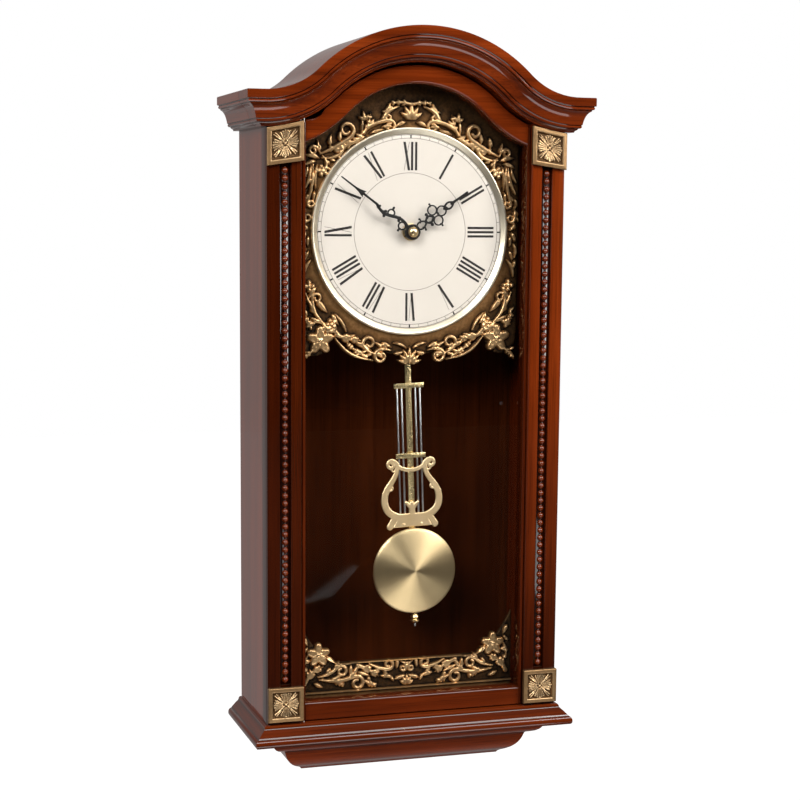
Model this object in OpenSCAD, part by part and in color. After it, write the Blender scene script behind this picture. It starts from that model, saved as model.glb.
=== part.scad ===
// Wall clock with an arched crown, an inset glazed door and a lyre pendulum.
// Millimetres, +Z up, +Y into the wall, origin in the hanger keyhole at the back plane.

/* [Case] */
// Outer width across the two side panels
case_w = 252; // [248:1:256]
// Distance from the wall to the front face of the pilasters
case_d = 95.5; // [94:0.5:98]
// Thickness of the side panels
panel_t = 12; // [10:1:13]
// Thickness of the front boards: pilasters and crown backing
front_t = 14.5; // [13:0.5:15]
// Height of the top face of the base board
base_top = 51; // [50:0.5:52]
// Thickness of the back board
back_t = 6; // [4:1:7]

/* [Crown] */
// Height of the flat ends of the crown
crown_end = 558; // [557:1:560]
// How far the arch rises above the flat ends
arch_rise = 52.5; // [51:0.5:54]
// Radius of the arch at the top outline
arch_r = 126; // [124:1:128]
// Distance from the middle to the point where the top becomes flat
bend_x = 130; // [129:1:132]

/* [Door] */
// Half of the glazed opening between the stiles
sight_x = 93.2; // [92:0.1:93.4]
// Width of one door stile
stile_w = 2.6; // [2.4:0.1:2.8]
// Thickness of the door frame
door_t = 12; // [10:1:12]
// Height of the apex of the glazed opening
sight_top = 566.7; // [564:0.5:568]
// Height of the top edge of the bottom rail
sight_low = 67.5; // [64:0.5:70]
// Thickness of the glass
glass_t = 2.4; // [2:0.2:3]

/* [Dial] */
// Height of the dial centre
dial_z = 449.4; // [447:0.2:452]
// Outer radius of the bezel
bezel_r = 84; // [82:0.5:86]
// Clock time shown by the hands, hours
show_hour = 1; // [0:1:11]
// Clock time shown by the hands, minutes
show_minute = 51; // [0:1:59]

/* [Pendulum] */
// Height of the pendulum pivot
pivot_z = 454; // [452:0.5:456]
// Distance from the wall to the plane of the rod
swing_d = 55; // [54:0.5:56]
// Radius of the bob
bob_r = 36.5; // [34:0.5:38]
// Distance from the pivot to the bob centre
bob_drop = 289.4; // [286:0.5:292]
// Lean of the hanging pendulum towards the right
lean = 2.2; // [0:0.1:2.5]

/* [Movement] */
// Width of the movement housing
move_w = 136; // [130:1:140]
// Height of the movement housing
move_h = 100; // [98:1:102]
// Depth of the movement housing
move_d = 24; // [24:0.5:26]

/* [Hidden] */
$fn = 64;
half_w = case_w / 2;
front_y = -case_d;
board_y = front_y + front_t;
hang_z = 572;
arch_z = crown_end + arch_rise - arch_r;
reach = (pow(bend_x, 2) + pow(arch_rise, 2)) / (2 * arch_rise);
bend_r = reach - arch_r;
bend_z = crown_end + bend_r;

// Crown moulding: [projection, drop of the lower edge] of each member, top member first
crown_steps = [[18.5, 7], [17.2, 9.6], [15.6, 11], [13, 13.7], [10.9, 16.6],
               [9.6, 21.8], [8.3, 24.2], [6.3, 25.6], [4.8, 27.4]];
crown_h = crown_steps[len(crown_steps) - 1][1];
roof_t = 8;
function crown_inner(i) = i == len(crown_steps) - 1 ? 0 : crown_steps[i + 1][0];

// Base moulding: section as [projection, height]
base_nose = [[0, base_top], [2.2, base_top - 1.2], [3, base_top - 3], [8.4, 42.4], [10.8, 40.4],
             [11.8, 38], [11.6, 36], [10.6, 34.7], [0, 34.7]];
base_low = 34.7;
// Base skirt: [set back from the case, lower edge] of each member, upper member first
skirt_steps = [[7.5, 29], [9.5, 26.5], [13, 24], [19.5, 21.5], [21, 18], [23, 14], [25.4, 10],
               [28.6, 6.6], [33, 4], [36.5, 2.6], [38.4, 0]];

pil_in = 96.6;
pil_edge = 3;
bead_x = 110.3;
bead_w = 9;
bead_cut = 3;
bead_pitch = 6.3;
bead_r = 2.65;
bead_low = 84;
bead_high = 502;

door_gap = 0.8;
door_low = base_top + 1.2;
door_y = front_y + 2;
door_out = sight_x + stile_w;
hinge_x = -(sight_x + stile_w / 2);
hinge_y = door_y + stile_w / 2;
hinge_pin_r = 0.75;
rail_round = 3;
rail_drop = crown_h + 1.8;
rail_bend = crown_h + 3.4;
sight_r = 81.8;
sight_bend_r = 100;
glass_y = door_y + 4;
stile_top = 534.5;

plate_y = -72;
plate_t = 2.5;
plate_x = 94;
dial_board_y = plate_y + plate_t;
dial_board_t = 6;
dial_r = 79.2;
face_y = -72.6;
hour_y = -77.4;
minute_y = -79.8;
hand_t = 0.8;
shaft_r = 1.6;
tube_r = 2.9;
fit = 0.05;
corner_x = [-87, -84, -81];
corner_z = [537, 537.8, 540];
catch_x = sight_x - 24;
strike_w = 20;
catch_top = 61;
dial_board_r = 92;
dial_board_low = 376;
dial_board_top = 560;
stem_r = 0.8;
hour_len = 58;
minute_len = 75;
minute_ang = 6 * show_minute;
hour_ang = 30 * show_hour + show_minute / 2;

move_y = dial_board_y + dial_board_t;
move_mid = move_y + 11.5;
move_back = move_y + move_d;
move_z = 442;
move_low = move_z - move_h / 2;
shell_t = 1.6;
chan_x = 14.5;
chan_z = 470;
chan_y = -59.5;
knob_top = move_back + 9;

set_x = -45;
set_z = 475;
vol_x = 45;
vol_z = 472;
sel_x = 38;
sel_z = 442;
test_x = 45;
test_z = 414;
cell_r = 7.1;
cell_h = 50;
cell_z = 401;

// ---- Shared outlines and helpers ----

// Height of the crown outline at x, moved inwards by drop (and by bend where it is concave)
function ogee(x, drop, bend) =
    let (a = abs(x), r = arch_r - drop, b = bend_r + bend)
    let (top = a < r ? arch_z + sqrt(r * r - a * a) : arch_z)
    let (low = a < bend_x ? bend_z - sqrt(b * b - pow(bend_x - a, 2)) : bend_z - b)
    a < arch_r * bend_x / reach - drop / 2 ? top : low;

// Height of the edge of the glazed opening at x
function sight(x) =
    let (a = abs(x), c = sight_top - sight_r)
    let (s = sight_r + sight_bend_r, k = s - sqrt(s * s - pow(bend_x, 2)))
    let (z = sight_top - k + sight_bend_r)
    a < sight_r * bend_x / s ? c + sqrt(sight_r * sight_r - a * a)
                             : z - sqrt(pow(sight_bend_r, 2) - pow(bend_x - a, 2));

function span(half, n) = [for (i = [0 : n]) -half + 2 * half * i / n];

// Moves a piece from heights above the foot of the clock to the hanger frame
module place() {
    translate([0, 0, -hang_z]) children();
}

// Extrudes an outline drawn in X and Z between two depths
module slab(y0, y1) {
    translate([0, y1, 0]) rotate([90, 0, 0]) linear_extrude(y1 - y0) children();
}

// Round bar along Y between two depths
module bar_y(r, y0, y1) {
    translate([0, y1, 0]) rotate([90, 0, 0]) cylinder(r = r, h = y1 - y0);
}

// Turned piece about an axis along Y; the section is [radius, height towards the front]
module turned(y) {
    translate([0, y, 0]) rotate([90, 0, 0]) rotate_extrude() children();
}

module block(x0, x1, y0, y1, z0, z1) {
    translate([x0, y0, z0]) cube([x1 - x0, y1 - y0, z1 - z0]);
}

// Area below the crown outline
module under_ogee(drop, bend, half, low) {
    xs = span(half, 56);
    polygon(concat([for (x = xs) [x, ogee(x, drop, bend)]], [[half, low], [-half, low]]));
}

// Band that follows the crown outline from its top down to drop
module ogee_band(drop, half) {
    xs = span(half, 36);
    lower = [for (i = [36 : -1 : 0]) [xs[i], ogee(xs[i], drop, drop)]];
    polygon(concat([for (x = xs) [x, ogee(x, 0, 0)]], lower));
}

// Ribbon of even width along a list of points
function side_pts(p, w) = [for (i = [0 : len(p) - 1])
    let (a = p[max(i - 1, 0)], b = p[min(i + 1, len(p) - 1)], d = b - a)
    p[i] + w / 2 * [-d[1], d[0]] / norm(d)];
function flip(p) = [for (i = [len(p) - 1 : -1 : 0]) p[i]];
module ribbon(p, w) {
    polygon(concat(side_pts(p, w), flip(side_pts(p, -w))));
}
function curve4(a, b, c, d, n) = [for (i = [0 : n])
    let (t = i / n, u = 1 - t)
    a * u * u * u + b * 3 * u * u * t + c * 3 * u * t * t + d * t * t * t];

// ---- Case ----

module side_panel(s) {
    color("#6b2f1d") place()
    mirror([s < 0 ? 1 : 0, 0, 0])
    block(half_w - panel_t, half_w, board_y, 0, base_top, crown_end - roof_t - 0.1);
}
module side_panel_left() { side_panel(-1); }
module side_panel_right() { side_panel(1); }

module pilaster_section() {
    in_r = 1.6;
    difference() {
        union() {
            translate([pil_in + in_r, front_y]) square([half_w - pil_edge - pil_in - in_r, 5]);
            translate([pil_in, front_y + pil_edge]) square([half_w - pil_in, front_t - pil_edge]);
            translate([pil_in + in_r, front_y + in_r]) circle(in_r);
            translate([pil_in, front_y + in_r]) square([in_r, 5]);
            translate([half_w - pil_edge, front_y + pil_edge]) circle(pil_edge);
        }
        translate([bead_x - bead_w / 2, front_y - 1]) square([bead_w, bead_cut + 1]);
    }
}

module pilaster(s) {
    color("#5a2015") place()
    mirror([s < 0 ? 1 : 0, 0, 0])
    intersection() {
        translate([0, 0, base_top]) linear_extrude(500) pilaster_section();
        slab(front_y - 1, 0) under_ogee(crown_h + 0.1, crown_h + 0.1, half_w + 1, 0);
    }
}
module pilaster_left() { pilaster(-1); }
module pilaster_right() { pilaster(1); }

module bead_strip(s) {
    seat = front_y + bead_cut;
    beads = floor((bead_high - bead_low) / bead_pitch);
    color("#4a1a10") place()
    mirror([s < 0 ? 1 : 0, 0, 0]) {
        block(bead_x - 4.3, bead_x + 4.3, seat - 0.8, seat, bead_low, bead_high);
        for (i = [0 : beads - 1])
            translate([bead_x, 0, bead_low + bead_pitch * (i + 0.6)])
            bar_y(bead_r, seat - 3, seat - 0.8);
    }
}
module bead_strip_left() { bead_strip(-1); }
module bead_strip_right() { bead_strip(1); }

rose_t = 4;
rose_in = 96;
rose_out = 125.6;
rim_w = 4;

// Cast square plate: rim, sunk field and raised flower; z lists give inner and outer corners
module rosette(s, low, high) {
    cx = (rose_in + rose_out) / 2;
    cz = (low[0] + low[1] + high[0] + high[1]) / 4;
    k = (low[0] - low[1]) / (rose_out - rose_in);
    outline = [[rose_in, low[0]], [rose_out, low[1]], [rose_out, high[1]], [rose_in, high[0]]];
    field = [[rose_in + rim_w, low[0] + rim_w - k * rim_w], [rose_out - rim_w, low[1] + rim_w],
             [rose_out - rim_w, high[1] - rim_w], [rose_in + rim_w, high[0] - rim_w]];
    color("#a8874f") place()
    mirror([s < 0 ? 1 : 0, 0, 0]) {
        difference() {
            slab(front_y - rose_t, front_y) polygon(outline);
            slab(front_y - rose_t - 1, front_y - 1.6) polygon(field);
        }
        translate([cx, 0, cz]) {
            for (a = [0 : 45 : 315])
                rotate([0, a, 0])
                block(-1.5, 1.5, front_y - 3, front_y - 1.6, 0, 9);
            bar_y(2.2, front_y - 3.8, front_y - 1.6);
        }
    }
}
module rosette_top_left() { rosette(-1, [504.8, 500.4], [535.6, 529.8]); }
module rosette_top_right() { rosette(1, [504.8, 500.4], [535.6, 529.8]); }
module rosette_bottom_left() { rosette(-1, [53.6, 53.6], [82, 82]); }
module rosette_bottom_right() { rosette(1, [53.6, 53.6], [82, 82]); }

module crown_front() {
    color("#8a3a1c") place()
    difference() {
        union() {
            slab(front_y, board_y) ogee_band(crown_h, half_w);
            for (i = [len(crown_steps) - 1 : -1 : 0])
                slab(front_y - crown_steps[i][0], front_y - crown_inner(i))
                ogee_band(crown_steps[i][1], half_w + crown_steps[i][0]);
            for (s = [-1, 1])
                for (m = crown_steps)
                    translate([s * (half_w + m[0] / 2), 0, crown_end - m[1] / 2])
                    slab(front_y - m[0], board_y) square([m[0], m[1]], center = true);
        }
        translate([hinge_x, hinge_y, crown_end - 30]) cylinder(r = hinge_pin_r + 0.02, h = 20);
    }
}

module crown_return(s) {
    n = len(crown_steps);
    color("#8a3a1c") place()
    mirror([s < 0 ? 1 : 0, 0, 0])
    slab(board_y, 0)
    difference() {
        for (m = crown_steps)
            translate([half_w, crown_end - m[1]]) square([m[0], m[1]]);
    }
}
module crown_return_left() { crown_return(-1); }
module crown_return_right() { crown_return(1); }

module crown_roof() {
    color("#7a3219") place()
    slab(board_y, 0) ogee_band(roof_t, half_w);
}

module base_board() {
    color("#6b2f1d") place()
    difference() {
        block(-half_w, half_w, front_y, 0, base_low, base_top);
        translate([hinge_x, hinge_y, base_top - 8]) cylinder(r = hinge_pin_r + 0.02, h = 9);
    }
}

module nose_run(len) {
    linear_extrude(len) polygon(base_nose);
}

module base_moulding_front() {
    ext = half_w + 14;
    color("#6b2417") place()
    intersection() {
        translate([-ext, front_y, 0]) rotate([90, 0, 90])
        mirror([1, 0, 0]) nose_run(2 * ext);
        linear_extrude(80)
        polygon([[-half_w, front_y], [half_w, front_y], [half_w + 14, front_y - 14],
                 [-half_w - 14, front_y - 14]]);
    }
}

module base_moulding_side(s) {
    color("#6b2417") place()
    mirror([s < 0 ? 1 : 0, 0, 0])
    intersection() {
        translate([half_w, 0, 0]) rotate([90, 0, 0]) nose_run(case_d + 14);
        linear_extrude(80)
        polygon([[half_w, 0], [half_w, front_y], [half_w + 14, front_y - 14],
                 [half_w + 14, 0]]);
    }
}
module base_moulding_left() { base_moulding_side(-1); }
module base_moulding_right() { base_moulding_side(1); }

module base_skirt() {
    tops = concat([base_low], [for (m = skirt_steps) m[1]]);
    color("#5e2116") place()
    difference() {
        for (i = [0 : len(skirt_steps) - 1])
            let (b = skirt_steps[i][0])
            block(-half_w + b, half_w - b, front_y + b, 0, skirt_steps[i][1], tops[i]);
        block(-74, 74, front_y + 52, 1, 6, base_low + 1);
    }
}

module back_board() {
    color("#4a2416") place()
    difference() {
        slab(-back_t - 3, -3) under_ogee(roof_t + 0.1, roof_t + 0.1, half_w - panel_t - 0.1, base_top);
        slab(-20, 10) translate([-70, 388]) square([140, 112]);
        for (x = [-15 : 7.5 : 15])
            for (z = [516 : 7.5 : 546])
                translate([x, 0, z]) bar_y(1.6, -20, 10);
        for (x = [-106, 106])
            for (z = [70, 300, 530])
                translate([x, 0, z]) bar_y(1.7, -20, 10);
        for (x = [-16, 16])
            translate([x, 0, hang_z]) bar_y(1.3, -20, 10);
        translate([0, 0, hang_z]) bar_y(7.5, -5.4, 10);
        slab(-5.4, 10) translate([-5, hang_z]) square([10, 15]);
    }
}

module screw_y(y_head, head_r, r, len) {
    bar_y(head_r, y_head, y_head + 1.6);
    bar_y(r, y_head - len, y_head);
}

module back_board_screws() {
    color("#b8b09a") place()
    for (x = [-106, 106])
        for (z = [70, 300, 530])
            translate([x, 0, z]) screw_y(-3, 3.2, 1.6, 5.8);
}

module hanger_plate() {
    color("#b9bcc0") place()
    difference() {
        slab(-3, 0) difference() {
            translate([-23, hang_z - 11]) square([46, 30]);
            translate([-2.6, hang_z]) square([5.2, 12]);
            translate([0, hang_z + 12]) circle(2.6);
        }
        translate([0, 0, hang_z]) bar_y(4.6, -10, 10);
        for (x = [-16, 16])
            translate([x, 0, hang_z]) bar_y(1.7, -10, 10);
    }
}

module hanger_screws() {
    color("#b8b09a") place()
    for (x = [-16, 16])
        translate([x, 0, hang_z]) {
            bar_y(3, 0, 1);
            bar_y(1.25, -8.8, 0);
        }
}

// ---- Door ----

// The corner by the hinge is lower, because it turns under the crown as the door opens.
function swing_limit(x) =
    x < corner_x[0] ? corner_z[0] : x < corner_x[1] ? corner_z[1] : x < corner_x[2] ? corner_z[2]
    : crown_end + arch_rise;

module rail_shape() {
    xs = span(sight_x - 0.05, 48);
    top = [for (x = xs) [x, min(ogee(x, rail_drop, rail_bend), swing_limit(x))]];
    polygon(concat(top, flip([for (x = xs) [x, sight(x)]])));
}

module door_top_rail() {
    xs = span(sight_x - 0.05, 48);
    lip = [for (x = xs) [x, sight(x) + rail_round / 2]];
    color("#8a351b") place()
    difference() {
        slab(door_y, door_y + door_t) rail_shape();
        slab(door_y - 1, door_y + rail_round / 2)
        polygon(concat(lip, [[sight_x, 500], [-sight_x, 500]]));
        slab(glass_y, glass_y + glass_t + 0.1)
        polygon(concat([for (x = xs) [x, sight(x) + 5.1]], [[sight_x, 500], [-sight_x, 500]]));
    }
}

module door_bottom_rail() {
    color("#6b2417") place()
    difference() {
        union() {
            block(-sight_x + 0.05, sight_x - 0.05, door_y + rail_round, door_y + door_t,
                  door_low, sight_low);
            block(-sight_x + 0.05, sight_x - 0.05, door_y, door_y + rail_round + 1,
                  door_low, sight_low - rail_round);
            translate([-sight_x + 0.05, door_y + rail_round, sight_low - rail_round])
            rotate([0, 90, 0]) cylinder(r = rail_round, h = 2 * sight_x - 0.1);
        }
        block(-sight_x, sight_x, glass_y, glass_y + glass_t + 0.1, sight_low - 5.1, sight_low + 1);
    }
}

// Slim door stile with its front outer edge rounded about the hinge axis
module stile(s) {
    r = stile_w / 2;
    color("#2c130d") place()
    mirror([s < 0 ? 1 : 0, 0, 0])
    difference() {
        union() {
            translate([-hinge_x, hinge_y, door_low]) cylinder(r = r, h = stile_top - door_low);
            block(sight_x, door_out, hinge_y, door_y + door_t, door_low, stile_top);
        }
        translate([-hinge_x, hinge_y, door_low - 1]) cylinder(r = hinge_pin_r + fit, h = 9);
        translate([-hinge_x, hinge_y, stile_top - 8]) cylinder(r = hinge_pin_r + fit, h = 9);
    }
}
module door_stile_left() { stile(-1); }
module door_stile_right() { stile(1); }

module door_glass() {
    xs = span(sight_x - 0.1, 48);
    color([0.8, 0.9, 0.9, 0.3]) place()
    slab(glass_y + 0.05, glass_y + glass_t)
    polygon(concat([for (x = xs) [x, sight(x) + 5]],
                   [[sight_x - 0.1, sight_low - 5], [-sight_x + 0.1, sight_low - 5]]));
}

module door_pivot_pins() {
    color("#b8b09a") place()
    translate([hinge_x, hinge_y, 0]) {
        translate([0, 0, base_top - 8]) cylinder(r = hinge_pin_r, h = 15);
        translate([0, 0, stile_top - 6]) cylinder(r = hinge_pin_r, h = crown_end - 10 - stile_top + 5);
    }
}

module door_strike() {
    color("#b9bcc0") place()
    block(catch_x, catch_x + strike_w, door_y + door_t, door_y + door_t + 1,
          door_low + 1, catch_top - 1);
}

module catch_magnet() {
    color("#2b2b2d") place()
    block(catch_x - 2, catch_x + strike_w + 2, door_y + door_t + 1.1, plate_y - plate_t - 0.1,
          base_top, catch_top);
}

// ---- Dial and ornament ----

module dial_board() {
    color("#3a1c12") place()
    difference() {
        slab(dial_board_y, dial_board_y + dial_board_t) offset(delta = 0.01) {
            translate([0, dial_z]) circle(dial_board_r);
            difference() {
                under_ogee(roof_t + 0.2, roof_t + 0.2, half_w - panel_t - 0.1, dial_board_low);
                translate([-half_w, dial_board_top]) square([2 * half_w, arch_rise]);
            }
        }
        translate([0, 0, dial_z]) bar_y(5.1, -100, 0);
    }
}

module upper_ornament() {
    color("#7d6236") place()
    difference() {
        union() {
            slab(plate_y, dial_board_y) {
                translate([0, dial_z]) circle(102);
                difference() {
                    under_ogee(36, 42, plate_x, 362);
                    translate([-60, 300]) square([120, 100]);
                }
                for (s = [-1, 1])
                    translate([s * 80, 362]) circle(14);
            }
            translate([0, 0, dial_z]) turned(plate_y + 0.01)
            translate([94, 0]) circle(4);
            for (s = [-1, 1])
                translate([s * 80, 0, 362]) bar_y(11, plate_y - 4, plate_y);
        }
        translate([0, 0, dial_z]) bar_y(dial_r + 0.4, -100, 0);
        slab(-100, 0) {
            translate([plate_x, 300]) square([40, 300]);
            translate([-plate_x - 40, 300]) square([40, 300]);
        }
        slab(dial_board_y, 0) translate([-200, 300]) square([400, 300]);
    }
}

function low_edge(x) = 90 + 40 * pow(abs(x) / plate_x, 2.6);

module lower_ornament() {
    xs = span(plate_x, 40);
    color("#7d6236") place() {
        slab(plate_y, plate_y + plate_t)
        polygon(concat([for (x = xs) [x, low_edge(x)]],
                       [[plate_x, base_top + 0.1], [-plate_x, base_top + 0.1]]));
        slab(plate_y - 2.5, plate_y)
        polygon(concat([for (x = xs) [x, low_edge(x) - 3]],
                       flip([for (x = xs) [x, low_edge(x) - 12 - abs(x) / 12]])));
        slab(plate_y - 2.5, plate_y) translate([-plate_x, 62]) square([2 * plate_x, 6]);
    }
}

module dial_face() {
    color("#f1eee2") place()
    difference() {
        translate([0, 0, dial_z]) bar_y(dial_r, face_y, dial_board_y);
        translate([0, 0, dial_z]) bar_y(5.1, -100, 0);
    }
}

module dial_bezel() {
    color("#c9c2ae") place()
    translate([0, 0, dial_z])
    turned(plate_y - 0.05)
    polygon([[bezel_r, 0], [bezel_r, 1.6], [bezel_r - 1.4, 3.2], [bezel_r - 3, 3.2],
             [dial_r - 2.2, 0.8], [dial_r - 2.2, 0.6], [dial_r + 0.6, 0.6], [dial_r + 0.6, 0]]);
}

// Pierced hour hand drawn pointing up
module hour_shape() {
    difference() {
        union() {
            circle(6.2);
            translate([0, 17]) circle(6.5);
            for (s = [-1, 1])
                translate([s * 6, 25]) circle(4.6);
            translate([0, 33]) circle(5);
            polygon([[-1.6, 4], [1.6, 4], [1.6, 20], [2.6, 36], [3.4, 42], [0, hour_len],
                     [-3.4, 42], [-2.6, 36], [-1.6, 20]]);
        }
        translate([0, 17]) circle(3.4);
        for (s = [-1, 1])
            translate([s * 6, 25]) circle(2.4);
        circle(tube_r);
    }
}

module hour_hand() {
    color("#141414") place()
    translate([0, 0, dial_z]) rotate([0, hour_ang, 0])
    slab(hour_y - hand_t, hour_y) hour_shape();
}

module hour_tube() {
    color("#b08d4a") place()
    translate([0, 0, dial_z]) difference() {
        bar_y(tube_r, hour_y - hand_t, -60.5);
        bar_y(shaft_r + fit, -100, 0);
    }
}

// Pierced minute hand drawn pointing up
module minute_shape() {
    difference() {
        union() {
            circle(5.4);
            translate([0, 16]) circle(4.6);
            translate([0, 26]) circle(4.2);
            polygon([[-1.4, 4], [1.4, 4], [1.4, 30], [2.4, 38], [4.2, 44], [1.8, 50],
                     [0, minute_len], [-1.8, 50], [-4.2, 44], [-2.4, 38], [-1.4, 30]]);
        }
        translate([0, 16]) circle(2.2);
        translate([0, 26]) circle(1.9);
        circle(shaft_r);
    }
}

module minute_hand() {
    color("#141414") place()
    translate([0, 0, dial_z]) rotate([0, minute_ang, 0])
    slab(minute_y - hand_t, minute_y) minute_shape();
}

module minute_shaft() {
    color("#b08d4a") place()
    translate([0, 0, dial_z]) bar_y(shaft_r, minute_y - hand_t, -60.5);
}

module hand_cap() {
    color("#b9963f") place()
    translate([0, 0, dial_z]) turned(minute_y - hand_t)
    polygon([[0, 0], [4.2, 0], [4.2, 1.2], [3, 2.6], [0, 3.2]]);
}

module centre_nut() {
    color("#b08d4a") place()
    translate([0, 0, dial_z]) difference() {
        union() {
            bar_y(7, face_y - 1.6, face_y);
            bar_y(5, face_y, move_y);
        }
        bar_y(tube_r + 0.08, -100, 0);
    }
}

// ---- Movement ----

module controls_holes() {
    translate([set_x, 0, set_z]) bar_y(2.05, -50, 0);
    translate([vol_x, 0, vol_z]) bar_y(2.05, -50, 0);
    translate([test_x, 0, test_z]) bar_y(3.6, -50, 0);
    block(sel_x - 2, sel_x + 11, -50, 0, sel_z - 2.1, sel_z + 2.1);
}

module movement_front_shell() {
    w = move_w / 2;
    top = move_low + move_h;
    color("#26282b") place()
    difference() {
        block(-w, w, move_y, move_mid, move_low, top);
        block(-w + shell_t, -chan_x - shell_t, move_y + shell_t, 0, move_low + shell_t, top - shell_t);
        block(chan_x + shell_t, w - shell_t, move_y + shell_t, 0, move_low + shell_t, top - shell_t);
        block(-w + 9, w - 9, move_y + shell_t, 0, chan_z + shell_t, top - shell_t);
        block(-chan_x, chan_x, chan_y, 0, move_low - 1, chan_z);
        translate([0, 0, dial_z]) bar_y(tube_r + 0.08, -100, chan_y + 1);
        translate([0, 0, pivot_z]) bar_y(1.22, chan_y - 2.5, chan_y + 1);
    }
}

module movement_rear_shell() {
    w = move_w / 2;
    top = move_low + move_h;
    color("#2e3033") place()
    difference() {
        block(-w, w, move_mid, move_back, move_low, top);
        block(-w + shell_t, -chan_x - shell_t, -60, move_back - shell_t, move_low + shell_t, top - shell_t);
        block(chan_x + shell_t, w - shell_t, -60, move_back - shell_t, move_low + shell_t, top - shell_t);
        block(-w + 9, w - 9, -60, move_back - shell_t, chan_z + shell_t, top - shell_t);
        block(-chan_x, chan_x, -60, 0, move_low - 1, chan_z);
        block(-61, -25, -60, 0, cell_z - 2, cell_z + cell_h + 2);
        controls_holes();
    }
}

// Control knob with a stem that turns in the rear shell
module knob(x, z, r) {
    translate([x, 0, z]) {
        difference() {
            bar_y(r, move_back + 0.4, knob_top);
            for (a = [0 : 30 : 330])
                rotate([0, a, 0]) translate([r + 0.5, 0, 0]) bar_y(1.1, move_back + 2, 0);
        }
        bar_y(2, move_back - 6, move_back + 0.4);
        bar_y(3.4, move_back - 5, move_back - 3);
    }
}

module set_knob() {
    color("#d9d5c8") place() knob(set_x, set_z, 8);
}

module volume_knob() {
    color("#1d1e20") place() knob(vol_x, vol_z, 9);
}

module chime_switch() {
    color("#c4c0b4") place() {
        block(sel_x - 1, sel_x + 3, move_back - 4, move_back + 2.6, sel_z - 2, sel_z + 2);
        block(sel_x - 3, sel_x + 5, move_back - 4.2, move_back - 2.2, sel_z - 4, sel_z + 4);
    }
}

module test_button() {
    color("#9c2f28") place()
    translate([test_x, 0, test_z]) {
        bar_y(3.5, move_back - 3, move_back + 3);
        bar_y(5, move_back - 3.6, move_back - 2.2);
    }
}

module battery_cover() {
    color("#2a2c2f") place()
    difference() {
        block(-64, -22, move_back + 0.05, move_back + 1.7, cell_z - 5, cell_z + cell_h + 5);
        for (z = [0 : 3 : 12])
            block(-50, -36, move_back + 1.2, move_back + 3, cell_z + 2 + z, cell_z + 3 + z);
    }
}

module batteries() {
    color("#3f6f4a") place()
    for (x = [-52, -34])
        translate([x, move_back - 9.2, cell_z]) {
            cylinder(r = cell_r, h = cell_h - 1);
            cylinder(r = 2.6, h = cell_h);
        }
}

module speaker() {
    color("#1b1b1d") place()
    translate([0, 0, 531]) turned(-back_t - 3)
    polygon([[0, 2], [12, 4], [18, 0.6], [19, 0], [22, 0], [22, 1.6], [19.6, 2.4], [12, 12],
             [12, 16], [0, 16]]);
}

// ---- Pendulum, drawn hanging straight, then leaned about its pivot ----

module hang() {
    place()
    translate([0, -swing_d, pivot_z]) rotate([0, -lean, 0]) children();
}

module pendulum_pivot_pin() {
    color("#b9bcc0") place()
    translate([0, 0, pivot_z]) {
        bar_y(1.2, chan_y - 2.4, -51.4);
        bar_y(2.4, -51.4, -50.4);
    }
}

module pendulum_hook() {
    color("#d8d4c4") hang()
    slab(-1.8, -0.6) difference() {
        union() {
            circle(3.4);
            translate([-2.6, -22]) square([5.2, 21]);
        }
        circle(1.26);
    }
}

module pendulum_rod() {
    color("#c8b36a") hang()
    block(-2.6, 2.6, -0.6, 0.6, -264, -7);
}

module pendulum_bars() {
    color("#c8b36a") hang()
    for (z = [-132, -191])
        block(-13, 13, -2, -0.7, z - 2, z + 2);
}

module lyre_rods() {
    color("#cfcfcf") hang()
    for (x = [-10, -6, 6, 10])
        translate([x, 0.1, -246]) cylinder(r = 0.8, h = 116);
}

lyre_arm = curve4([16, -200], [10, -214], [33, -214], [25, -228], 14);
lyre_foot = curve4([25, -228], [21, -238], [12, -236], [12, -243], 10);

module lyre_outline() {
    for (s = [0, 1])
        mirror([s, 0]) {
            ribbon(lyre_arm, 5.4);
            ribbon(lyre_foot, 5.4);
            translate([19, -196.5]) circle(4.4);
            translate([20.5, -250.5]) circle(3.4);
            translate([17.5, -225.5]) circle(2.6);
            translate([16.8, -228]) square([8, 4]);
            translate([15, -202]) circle(3.2);
        }
    ribbon(curve4([-17, -197], [-8, -205], [8, -205], [17, -197], 12), 3.6);
    translate([-15, -253]) square([30, 14]);
    translate([-20, -253]) square([40, 5]);
    translate([0, -233]) circle(6.5);
}

module lyre_plate() {
    color("#c8b36a") hang() slab(-2.2, -0.85) offset(delta = 0.01) lyre_outline();
}

module pendulum_bob() {
    color("#cdbb78") hang()
    translate([0, 0, -bob_drop]) turned(-2.2 + 1.35)
    polygon([[0, 0], [bob_r - 1, 0], [bob_r, 0.8], [bob_r - 0.6, 2.2], [bob_r - 4, 4],
             [bob_r - 12, 5.2], [0, 5.8]]);
}

module rating_stem() {
    color("#b9bcc0") hang()
    translate([0, 0, -338]) cylinder(r = stem_r, h = 338 - 264);
}

module rating_nut() {
    color("#c8b36a") hang()
    difference() {
        translate([0, 0, -335]) rotate_extrude()
        polygon([[0, 0], [2, 0], [4.4, 2.2], [2.6, 3.6], [4, 5.4], [2.2, 8], [0, 8]]);
        translate([0, 0, -339]) cylinder(r = stem_r + fit, h = 15);
    }
}

// ---- Output ----

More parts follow.
